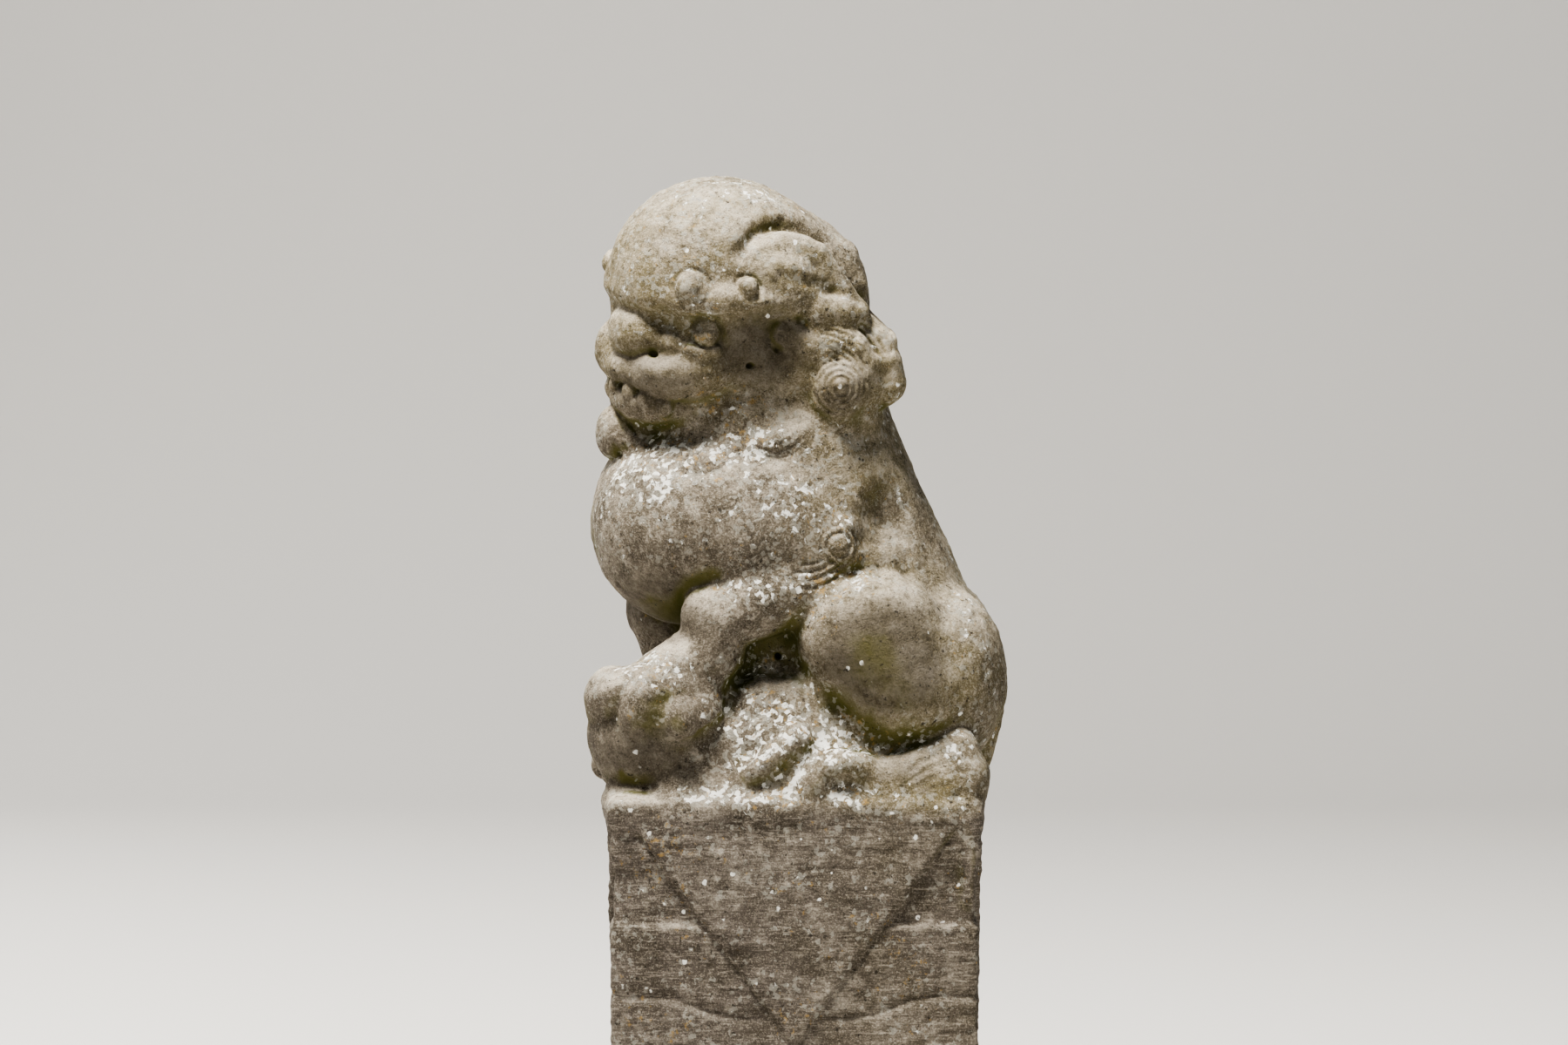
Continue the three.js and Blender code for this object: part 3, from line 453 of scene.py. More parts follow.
MANE_LINES = {
    "big curl rings": rings((26, -65, 420.5), (0.05, -1, 0.05), 3.5, 17, pitch=3.3, depth=1.1),
    "hair over the curl lines": strands((31, -56, 441), (20, 14, 10), turn=(90, 42, 0), pitch=3.6,
                                        depth=0.9, bend=0.02),
    "back lock lines": strands((47, -41, 449), (16, 14, 9), turn=(90, 52, 0), pitch=4.2, depth=1.1, bend=0.01),
    "front lock lines": strands((-50, -62, 377), (17, 12, 10), turn=(90, -12, 0), pitch=4.2, depth=0.9, bend=-0.03),
    "rear lock lines": strands((-9, -62, 390), (19, 12, 9), turn=(90, -10, 0), pitch=4.2, depth=0.9, bend=-0.03),
    "elbow knob rings": rings((25, -70, 331), (0, -1, 0.1), 4.5, 13, pitch=4.2, depth=1.5),
    "hair below the elbow": strands((11, -70, 314), (19, 10, 9), turn=(90, -14, 0), pitch=4.6, depth=1.1, bend=-0.016),
    "heel tuft lines": strands((80, -86, 204), (30, 12, 19), turn=(90, -20, 0), pitch=5.6, depth=0.8,
                               bend=0.008, fan=0.01),
}

BODY_LINES = {
    "crease by the first toe": groove([(-92, -84, 254), (-97, -86, 249), (-101, -84, 243), (-104, -77, 234)], 3.2, 2.4),
    "crease by the second toe": groove([(-81, -88, 254), (-78, -91, 249), (-74, -91, 240), (-76, -90, 231)], 3.2, 2.2),
    "under the second toe": groove([(-76, -90, 231), (-82, -87, 223), (-88, -84, 216)], 3.4, 2.0),
    "under the third toe": groove([(-74, -89, 226), (-66, -88, 221), (-53, -81, 224), (-43, -78, 232)], 3.6, 2.2),
    "drilled hole": ball((-9.5, -54, 267), (1.6, 8, 1.6), soft=0.6, take=True),
    "tassel lines": strands((-96, -24, 388), (12, 12, 15), turn=(90, 60, 0), pitch=4.8, depth=0.9),
}

CHIPS = {
    "left edge nick": ball((-107, -91, 171), (7, 5, 9), soft=3, take=True),
    "left edge chip": ball((-108, -91, 114), (7, 6, 16), soft=4, take=True),
    "right edge chip": ball((109, -92, 140), (5, 5, 20), soft=4, take=True),
    "worn right corner": ball((108, -93, 187), (9, 7, 6), soft=5, take=True),
    "rim by the right edge": limb([(97, -87.5, 176), (101, -88.5, 160), (99, -88.5, 132)], [3, 3.4, 2.4], soft=5),
}


# The block that the lion sits on
BLOCK_LOW, BLOCK_HIGH = (-105.3, -90, 0), (105.3, 90, 188)
BLOCK_ROUND = 5
CLOTH_HALF, CLOTH_SPREAD, CLOTH_FROM = 0.23, 0.0069, 80
SUNK, WAIST_SUNK = 1.8, 2.4
WAVE_HEIGHT, WAVE_CLIMB, WAVE_SWING, WAVE_BEATS = 62, 18, 2.5, 9
WAVE_WIDTH, WAVE_DEPTH = 2.8, 1.8
HEM_WIDTH, HEM_DEPTH = 1.7, 2.3
CLOTH_SHARP, CLOTH_SUNK = -0.012, 0.03
BAND_LOW, BAND_HIGH = 166, 173
WAIST_LOW, WAIST_HIGH = (115, 119), (144, 156)
FOOT_LOW, FOOT_HIGH = 24, 44
WAVE_START, WAVE_END = (0.1, 0.2), (0.93, 1)
BLOCK_SOFT = 3


def carve_block(stone):
    """Box with round edges, hypot(max(q, 0)) + min(max(q), 0) - round, and its low relief: a cloth
    that narrows downward in the middle of each face, a band along the top, a waist and a wave.
    """
    low, high = np.array(BLOCK_LOW, float), np.array(BLOCK_HIGH, float)
    centre, half = (low + high) / 2, (high - low) / 2

    def distance(x, y, z):
        qx, qy, qz = (abs(p - c) - h + BLOCK_ROUND for p, c, h in zip((x, y, z), centre, half))
        outside = np.sqrt(np.maximum(qx, 0) ** 2 + np.maximum(qy, 0) ** 2 + np.maximum(qz, 0) ** 2)
        box = outside + np.minimum(np.maximum(np.maximum(qx, qy), qz), 0) - BLOCK_ROUND
        across = np.where(qy > qx, abs(x) / half[0], abs(y) / half[1])
        past_cloth = across - CLOTH_HALF - CLOTH_SPREAD * (z - CLOTH_FROM)
        carved = (1 - smooth_step(BAND_LOW, BAND_HIGH, z)) * smooth_step(FOOT_LOW, FOOT_HIGH, z)
        waist = smooth_step(*WAIST_LOW, z) * (1 - smooth_step(*WAIST_HIGH, z))
        sunk = smooth_step(CLOTH_SHARP, CLOTH_SUNK, past_cloth) * (SUNK + WAIST_SUNK * waist)
        hem = HEM_DEPTH * np.exp(-(past_cloth * half[0] / HEM_WIDTH) ** 2)
        wave = WAVE_HEIGHT + WAVE_CLIMB * across + WAVE_SWING * np.cos(across * WAVE_BEATS)
        wave_ends = smooth_step(*WAVE_START, across) * (1 - smooth_step(*WAVE_END, across))
        groove_in_face = WAVE_DEPTH * np.exp(-((z - wave) / WAVE_WIDTH) ** 2) * wave_ends
        return box + carved * (sunk + hem) + groove_in_face

    stone.work(low, high, distance, BLOCK_SOFT, "join")


def head_axes():
    """Forward, left and up of the head, which is turned toward the near flank and leans a little."""
    turn, lean = np.radians(HEAD_TURN), np.radians(HEAD_TILT)
    forward = np.array([-np.cos(turn), -np.sin(turn), 0])
    left = np.array([np.sin(turn), -np.cos(turn), 0])
    up = np.array([0, 0, 1.0])
    rows = [forward, left * np.cos(lean) - up * np.sin(lean), up * np.cos(lean) + left * np.sin(lean)]
    return Axes(HEAD_CENTRE, rows)


def carve_lion(cell):
    """The whole stone, form by form, from the head down to the ground and the tail."""
    low = np.array(solid_box[0]) / METRES - MARGIN
    high = np.array(solid_box[1]) / METRES + MARGIN
    stone = Stone(low, high, cell)
    stone.axes = head_axes()
    stone.lay_group(SKULL)
    stone.lay_group(EYE_SOCKETS, pair=True)
    stone.lay_group(FACE)
    stone.lay_group(FACE_SIDES, pair=True)
    stone.lay_group(NOSE)
    stone.lay_group(NOSE_SIDES, pair=True)
    stone.lay_group(NOSTRIL)
    stone.lay_group(EARS, pair=True)
    stone.axes = Axes()
    stone.lay_group(MANE)
    stone.lay_group(MANE_SIDES, pair=True)
    stone.lay_group(TORSO)
    stone.lay_group(FLANKS, pair=True)
    stone.lay_group(TASSEL)
    stone.lay_group(NECK_LOCKS, pair=True)
    carve_block(stone)
    stone.lay_group(GROUND)
    stone.lay_group(HIND_FEET, pair=True)
    stone.lay_group(NEAR_FORELEG)
    stone.lay_group(FAR_FORELEG)
    stone.lay_group(TAIL)
    stone.axes = head_axes()
    stone.lay_group(FACE_LINES, pair=True)
    stone.axes = Axes()
    stone.lay_group(MANE_LINES, pair=True)
    stone.lay_group(BODY_LINES)
    stone.lay_group(CHIPS)
    return stone


# The skin is drawn through the field's zeros

CORNERS = list(product((0, 1), repeat=3))
EDGES = [(a, b) for a, b in product(range(8), repeat=2)
         if a < b and sum(p != q for p, q in zip(CORNERS[a], CORNERS[b])) == 1]


def is_plain(code):
    """Whether a cell's solid corners hang together, and its empty corners too, along its edges."""
    for wanted in (0, 1):
        members = {corner for corner in range(8) if (code >> corner & 1) == wanted}
        reached = set(list(members)[:1])
        for step in range(8):
            reached |= {b for a, b in EDGES if a in reached and b in members}
            reached |= {a for a, b in EDGES if b in reached and a in members}
        if reached != members:
            return False
    return True


PLAIN = np.array([is_plain(code) for code in range(256)])


def corner_view(values, corner):
    """The grid's values at one corner of every cell."""
    return values[tuple(slice(c, n - 1 + c) for c, n in zip(corner, values.shape))]


def clear_pinches(field):
    """Fills the empty corner nearest the skin in each cell where the skin would touch itself."""
    while True:
        solid = (field < 0).astype(np.uint8)
        code = sum(corner_view(solid, corner) << bit for bit, corner in enumerate(CORNERS))
        cells = np.argwhere(~PLAIN[code])
        if not len(cells):
            return
        values = np.stack([field[tuple((cells + corner).T)] for corner in CORNERS], axis=1)
        nearest = np.where(values < 0, np.inf, values).argmin(axis=1)
        chosen = cells + np.array(CORNERS)[nearest]
        field[tuple(chosen.T)] = -0.02


def skin_of(stone):
    """One point in each cell that the skin crosses, the mean of the crossings on the cell's edges,
    and one four-sided face round each grid edge that it crosses.
    """
    field = stone.field
    clear_pinches(field)
    solid = field < 0
    count = sum(corner_view(solid, corner).astype(np.uint8) for corner in CORNERS)
    crossed = (count > 0) & (count < 8)
    cells = np.argwhere(crossed)
    number = np.full(crossed.shape, -1, np.int32)
    number[crossed] = np.arange(len(cells))
    values = [field[tuple((cells + corner).T)] for corner in CORNERS]
    total, crossings = np.zeros((len(cells), 3)), np.zeros((len(cells), 1))
    for a, b in EDGES:
        cut = (values[a] < 0) != (values[b] < 0)
        along = values[a] / np.where(cut, values[a] - values[b], 1)
        spot = np.array(CORNERS[a]) + along[:, None] * (np.array(CORNERS[b]) - CORNERS[a])
        total += np.where(cut[:, None], spot, 0)
        crossings += cut[:, None]
    points = stone.low + stone.cell * (cells + total / crossings)
    faces = []
    for axis in range(3):
        here = [slice(1, -1)] * 3
        here[axis] = slice(0, -1)
        ahead = list(here)
        ahead[axis] = slice(1, None)
        before, after = solid[tuple(here)], solid[tuple(ahead)]
        edge = np.argwhere(before != after) + [int(a != axis) for a in range(3)]
        leaving = before[before != after]
        u, v = np.eye(3, dtype=int)[(axis + 1) % 3], np.eye(3, dtype=int)[(axis + 2) % 3]
        ring = np.stack([number[tuple((edge - shift).T)] for shift in (u + v, v, 0 * u, u)], axis=1)
        faces.append(np.where(leaving[:, None], ring, ring[:, ::-1]))
    return points, np.concatenate(faces)


def new_mesh(name, points, faces):
    """A mesh object from arrays of points in millimetres and of faces with one number of corners."""
    mesh = bpy.data.meshes.new(name)
    sides = faces.shape[1]
    mesh.vertices.add(len(points))
    mesh.vertices.foreach_set("co", (points * METRES).astype(np.float32).ravel())
    mesh.loops.add(faces.size)
    mesh.loops.foreach_set("vertex_index", faces.astype(np.int32).ravel())
    mesh.polygons.add(len(faces))
    mesh.polygons.foreach_set("loop_start", np.arange(0, faces.size, sides, dtype=np.int32))
    mesh.update(calc_edges=True)
    mesh.validate()
    piece = bpy.data.objects.new(name, mesh)
    bpy.context.scene.collection.objects.link(piece)
    return piece


def points_of(piece):
    """The piece's vertices in millimetres."""
    mesh = piece.data
    places = np.empty(len(mesh.vertices) * 3, np.float32)
    mesh.vertices.foreach_get("co", places)
    return places.reshape(-1, 3).astype(float) / METRES


def read_field(stone, points):
    """The field at any points, weighted evenly between the eight grid values round each."""
    spot = (points - stone.low) / stone.cell
    spot = np.clip(spot, 0, np.array(stone.shape) - 1.001)
    cell = spot.astype(int)
    part = spot - cell
    total = 0
    for corner in CORNERS:
        weight = np.prod(np.where(corner, part, 1 - part), axis=1)
        total = total + weight * stone.field[tuple((cell + corner).T)]
    return total


def facing_of(stone, points):
    """Unit directions out of the stone: how the field rises along x, y and z."""
    step = 1.5 * stone.cell
    rise = np.stack([read_field(stone, points + step * way) - read_field(stone, points - step * way)
                     for way in np.eye(3)], axis=1)
    return rise / (np.linalg.norm(rise, axis=1, keepdims=True) + 1e-9)


def openness_of(stone, points, facing, reaches):
    """How much room there is in front of the skin: the field at some reaches, over those reaches."""
    room = [np.clip(read_field(stone, points + facing * reach) / reach, 0, 1) for reach in reaches]
    return sum(room) / len(reaches)


# Weather

def chance(cells, seed):
    """An even spread of numbers from 0 to 1, one for each whole-number place, from mixed bits."""
    x, y, z = (cells[..., axis].astype(np.int64).astype(np.uint32) for axis in range(3))
    mixed = x * np.uint32(374761393) + y * np.uint32(668265263) + z * np.uint32(2246822519)
    mixed = mixed + np.uint32(seed * 2654435 + 97)
    mixed = (mixed ^ (mixed >> np.uint32(13))) * np.uint32(1274126177)
    mixed = (mixed ^ (mixed >> np.uint32(16))) * np.uint32(2654435769)
    return (mixed ^ (mixed >> np.uint32(15))).astype(float) / 2 ** 32


def rumple(points, size, seed):
    """Smooth noise from -1 to 1: chance at the corners of cells of this size, blended across them."""
    spot = points / size + 0.37 * seed
    cell = np.floor(spot)
    part = spot - cell
    part = part * part * part * (part * (part * 6 - 15) + 10)
    total = 0
    for corner in CORNERS:
        weight = np.prod(np.where(corner, part, 1 - part), axis=1)
        total = total + weight * chance(cell + corner, seed)
    return 2 * total - 1


def pits(points, size, width, seed):
    """Small round pits: 1 at the middle of a pit and 0 past its width, one pit in each cell."""
    cell = np.floor(points / size)
    nearest = np.full(len(points), 1e9)
    for shift in product((-1, 0, 1), repeat=3):
        home = cell + shift
        middle = np.stack([chance(home, seed + axis) for axis in range(3)], axis=1)
        span = (((home + middle) * size - points) ** 2).sum(axis=1)
        nearest = np.minimum(nearest, span)
    return np.clip(1 - np.sqrt(nearest) / width, 0, 1)


# Where the tool or the weather has left the skin roughest: middle, half-widths and strength
ROUGH = {
    "ear": ((0, -66, 480), (36, 30, 24), 1.0),
    "back": ((52, -52, 330), (30, 44, 66), 0.9),
    "ground slope": ((-8, -78, 222), (66, 44, 34), 0.9),
    "mane": ((30, -56, 430), (44, 34, 40), 0.5),
    "cheek": ((-14, -70, 446), (26, 20, 22), 0.5),
    "top ledge": ((0, -88, 182), (112, 16, 12), 0.8),
}


def strength_at(points, table):
    """Most at a patch's middle and none from 1.15 half-widths out, on both flanks alike."""
    mirrored = points * (1, 0, 1) - abs(points) * (0, 1, 0)
    most = np.zeros(len(points))
    for middle, reach, strength in table.values():
        away = np.linalg.norm((mirrored - np.array(middle)) / np.array(reach), axis=1)
        most = np.maximum(most, strength * (1 - smooth_step(0.35, 1.15, away)))
    return most


def weathered(stone, points, facing):
    """Millimetres by which the weather has raised the skin: dents, grain, crust and pits."""
    upward = smooth_step(-0.1, 0.8, facing[:, 2])
    rough = strength_at(points, ROUGH)
    dents = 0.8 * rumple(points, 26, 1) + 0.55 * rumple(points, 12, 2)
    lumps = rough * (0.9 * rumple(points, 9, 8) + 0.7 * rumple(points, 5, 9))
    grain = 0.3 * rumple(points, 5.2, 3) + 0.16 * rumple(points, 2.7, 4)
    crust = 0.35 * upward * smooth_step(0.0, 0.5, rumple(points, 6, 5) + 0.4 * rumple(points, 2.6, 6))
    holes = 0.8 * pits(points, 13, 2.6, 7) + 0.5 * (1 + rough) * pits(points, 7, 1.6, 11)
    flat_side = smooth_step(0.9, 0.98, np.abs(facing[:, :2]).max(axis=1)) * (points[:, 2] < 182)
    beds, thin_beds = np.array([70.0, 70.0, 3.2]), np.array([34.0, 34.0, 1.9])
    bedding = flat_side * (0.4 * rumple(points / beds, 1, 15) + 0.25 * rumple(points / thin_beds, 1, 16))
    seen = 1 - 0.5 * smooth_step(-20, 60, points[:, 1])
    return dents + seen * (lumps + grain + crust - holes + bedding)


# Where white lichen grows thickest: middle, half-widths and strength, on both flanks alike
GROWTH = {
    "ground slope": ((-8, -78, 222), (66, 44, 34), 1.0),
    "forearm": ((-24, -66, 302), (44, 34, 17), 1.0),
    "paw top": ((-76, -66, 262), (44, 34, 14), 0.9),
    "chest top": ((-62, -42, 372), (58, 44, 26), 0.8),
    "shoulder": ((0, -66, 352), (48, 34, 28), 0.7),
    "neck locks": ((-30, -56, 386), (50, 30, 14), 1.0),
    "ledge": ((-6, -84, 192), (112, 22, 9), 1.0),
    "thigh top": ((30, -84, 312), (28, 30, 13), 0.8),
    "heel": ((84, -78, 220), (24, 24, 12), 0.7),
    "dome": ((-40, -16, 524), (62, 56, 30), 0.35),
    "brow": ((-70, -50, 480), (30, 30, 16), 0.3),
}

# Where the stone is kept bare of lichen and painted darker, partly as painted shade on undersides and faces turned from
# the light: middle, half-widths and strength
BARE_AND_SHADED = {
    "muzzle": ((-76, -46, 426), (44, 40, 26), 0.75),
    "cheek": ((-18, -62, 440), (34, 24, 32), 1.0),
    "under the chest": ((-70, -46, 294), (60, 60, 30), 0.9),
    "ball": ((-80, -62, 214), (50, 50, 34), 0.8),
    "thigh": ((50, -88, 268), (50, 34, 44), 1.0),
    "curl": ((28, -64, 420), (26, 20, 24), 0.5),
    "foot": ((60, -84, 200), (30, 16, 16), 0.5),
}


def keep_inside(points, floor=0.0):
    """Nothing sinks below the surface that the block stands on."""
    points[:, 2] = np.maximum(points[:, 2], floor)
    return points


def thinned(piece, triangles, keep):
    """Fewer triangles, all of them left where keep is true, as a plain mesh with nothing to apply."""
    piece.data.calc_loop_triangles()
    before = len(piece.data.loop_triangles)
    loose = piece.vertex_groups.new(name="may be thinned")
    loose.add(np.flatnonzero(~keep).tolist(), 1.0, "REPLACE")
    thin = piece.modifiers.new("thin", "DECIMATE")
    thin.vertex_group = loose.name
    thin.ratio = min(1, triangles / before)
    now = bpy.context.evaluated_depsgraph_get()
    mesh = bpy.data.meshes.new_from_object(piece.evaluated_get(now))
    piece.modifiers.clear()
    piece.vertex_groups.clear()
    old = piece.data
    piece.data = mesh
    bpy.data.meshes.remove(old)
    mesh.name = piece.name


def write_attribute(piece, name, values):
    """One number at each vertex, for the material to read."""
    layer = piece.data.attributes.new(name, "FLOAT", "POINT")
    layer.data.foreach_set("value", values.astype(np.float32))


# The near side of the head, from the throat up, keeps the finest mesh
FINE_FROM, FINE_BESIDE = 398, -14


def make_lion():
    """The carved and weathered stone, with its openness and the way it faces kept for the material."""
    stone = carve_lion(CELL)
    points, faces = skin_of(stone)
    facing = facing_of(stone, points)
    off_floor = smooth_step(0, 3, points[:, 2])
    points = points + facing * (weathered(stone, points, facing) * off_floor)[:, None]
    finest = (points[:, 2] > FINE_FROM) & (points[:, 1] < FINE_BESIDE)
    piece = new_mesh("lion", keep_inside(points), faces)
    thinned(piece, TRIANGLES_KEPT, finest)
    points = points_of(piece)
    facing = facing_of(stone, points)
    # crease and shelter measure how open the skin is; the material paints shade from them.
    write_attribute(piece, "crease", 1 - openness_of(stone, points, facing, (1.5, 3, 5)))
    write_attribute(piece, "shelter", 1 - openness_of(stone, points, facing, (8, 16, 30)))
    write_attribute(piece, "upward", facing[:, 2])
    # Lichen growth, less the bare patches, whose darkening is partly painted shade.
    growth_and_shade = strength_at(points, GROWTH) * smooth_step(-0.45, 0.35, facing[:, 2])
    growth_and_shade = growth_and_shade - strength_at(points, BARE_AND_SHADED)
    write_attribute(piece, "growth_and_shade", growth_and_shade)
    piece.data.shade_smooth()
    return piece


# The stone's colours, its growth, and the light and shade painted on it

class Recipe:
    """A material's nodes, added and linked in the order in which the finish is built up."""

    def __init__(self, name):
        self.material = bpy.data.materials.new(name)
        self.material.use_nodes = True
        self.nodes = self.material.node_tree.nodes
        self.links = self.material.node_tree.links
        self.nodes.clear()
        self.place = self.add("ShaderNodeTexCoord").outputs["Object"]

    def add(self, kind, settings=None, **inputs):
        """A node of one kind, with settings as properties and inputs as values or links."""
        node = self.nodes.new(kind)
        for name, value in (settings or {}).items():
            setattr(node, name, value)
        for name, value in inputs.items():
            self.feed(node.inputs[name.replace("_", " ")], value)
        return node

    def feed(self, socket, value):
        """Sets a socket, or links it where the value is another node's output."""
        if isinstance(value, bpy.types.NodeSocket):
            self.links.new(value, socket)
        else:
            socket.default_value = value

    def math(self, operation, *values, clamp=False):
        """One sum, product or other operation on numbers or links."""
        node = self.add("ShaderNodeMath", {"operation": operation, "use_clamp": clamp})
        for socket, value in zip(node.inputs, values):
            self.feed(socket, value)
        return node.outputs[0]

    def noise(self, scale, detail=4, roughness=0.55, distortion=0.0, at=None):
        """Smooth noise with this many waves to the metre."""
        node = self.add("ShaderNodeTexNoise", Vector=at or self.place, Scale=scale, Detail=detail,
                        Roughness=roughness, Distortion=distortion)
        return node.outputs["Fac"]

    def shifted(self, reach, scale):
        """The place, moved this way and that by smooth noise, so that outlines read from it wander."""
        noise = self.add("ShaderNodeTexNoise", Vector=self.place, Scale=scale, Detail=3)
        way = self.add("ShaderNodeVectorMath", {"operation": "SCALE"}, Vector=noise.outputs["Color"], Scale=reach)
        node = self.add("ShaderNodeVectorMath", {"operation": "ADD"})
        self.feed(node.inputs[0], self.place)
        self.feed(node.inputs[1], way.outputs[0])
        return node.outputs[0]

    def stretched(self, shares):
        """The place, with each of its three numbers multiplied."""
        node = self.add("ShaderNodeVectorMath", {"operation": "MULTIPLY"})
        self.feed(node.inputs[0], self.place)
        self.feed(node.inputs[1], shares)
        return node.outputs[0]

    def spots(self, scale, at):
        """Distance from the nearest of many scattered points, in cells."""
        return self.add("ShaderNodeTexVoronoi", Vector=at, Scale=scale).outputs["Distance"]

    def cells(self, scale, at):
        """A number from 0 to 1 for each cell of a crazed pattern."""
        colour = self.add("ShaderNodeTexVoronoi", Vector=at, Scale=scale).outputs["Color"]
        return self.add("ShaderNodeSeparateColor", Color=colour).outputs[0]

    def ramp(self, value, start, end, low=0.0, high=1.0):
        """A smooth climb from low to high while the value goes from start to end."""
        node = self.add("ShaderNodeMapRange", {"interpolation_type": "SMOOTHSTEP"}, Value=value)
        node.inputs["From Min"].default_value = start
        node.inputs["From Max"].default_value = end
        node.inputs["To Min"].default_value = low
        node.inputs["To Max"].default_value = high
        return node.outputs["Result"]

    def attribute(self, name):
        """A number that the mesh keeps at each vertex."""
        return self.add("ShaderNodeAttribute", {"attribute_name": name}).outputs["Fac"]

    def mix(self, share, below, above):
        """One colour laid over another by a share from 0 to 1."""
        node = self.add("ShaderNodeMix", {"data_type": "RGBA"})
        self.feed(node.inputs["Factor"], share)
        under, over = (socket for socket in node.inputs if socket.type == "RGBA")
        self.feed(under, below)
        self.feed(over, above)
        return [socket for socket in node.outputs if socket.type == "RGBA"][0]


def shade(red, green, blue):
    """An opaque colour from its red, green and blue, in linear light."""
    return (red, green, blue, 1.0)


STONE_MID = shade(0.184, 0.157, 0.121)
# Pale stone of the crust, mottle and grain, also used as the painted light on upward faces.
STONE_PALE_AND_TOP_LIGHT = shade(0.52, 0.47, 0.39)
# Dark stone of the blotches, mottle and grain, also used as painted shade in creases and on the darkened patches.
STONE_DARK_AND_SHADE = shade(0.07, 0.058, 0.042)
BLOCK_BROWN = shade(0.118, 0.1, 0.088)
YELLOWED = shade(0.225, 0.19, 0.098)
# Olive of algae, also used as the painted shade in hollows and undersides.
ALGAE_AND_SHADE = shade(0.115, 0.108, 0.03)
# Dark green of moss, also used as painted shade in sheltered places.
MOSS_AND_SHADE = shade(0.07, 0.078, 0.014)
LICHEN_WHITE = shade(0.78, 0.77, 0.72)
LICHEN_GREY = shade(0.4, 0.39, 0.34)
LICHEN_OCHRE = shade(0.36, 0.24, 0.09)
SPECK_DARK = shade(0.035, 0.03, 0.024)
BLOCK_FROM, BLOCK_TO = 0.19, 0.176
HEAD_FROM, HEAD_TO = 0.38, 0.43
GROWTH_PULL, COVER_FROM = 0.15, 0.765


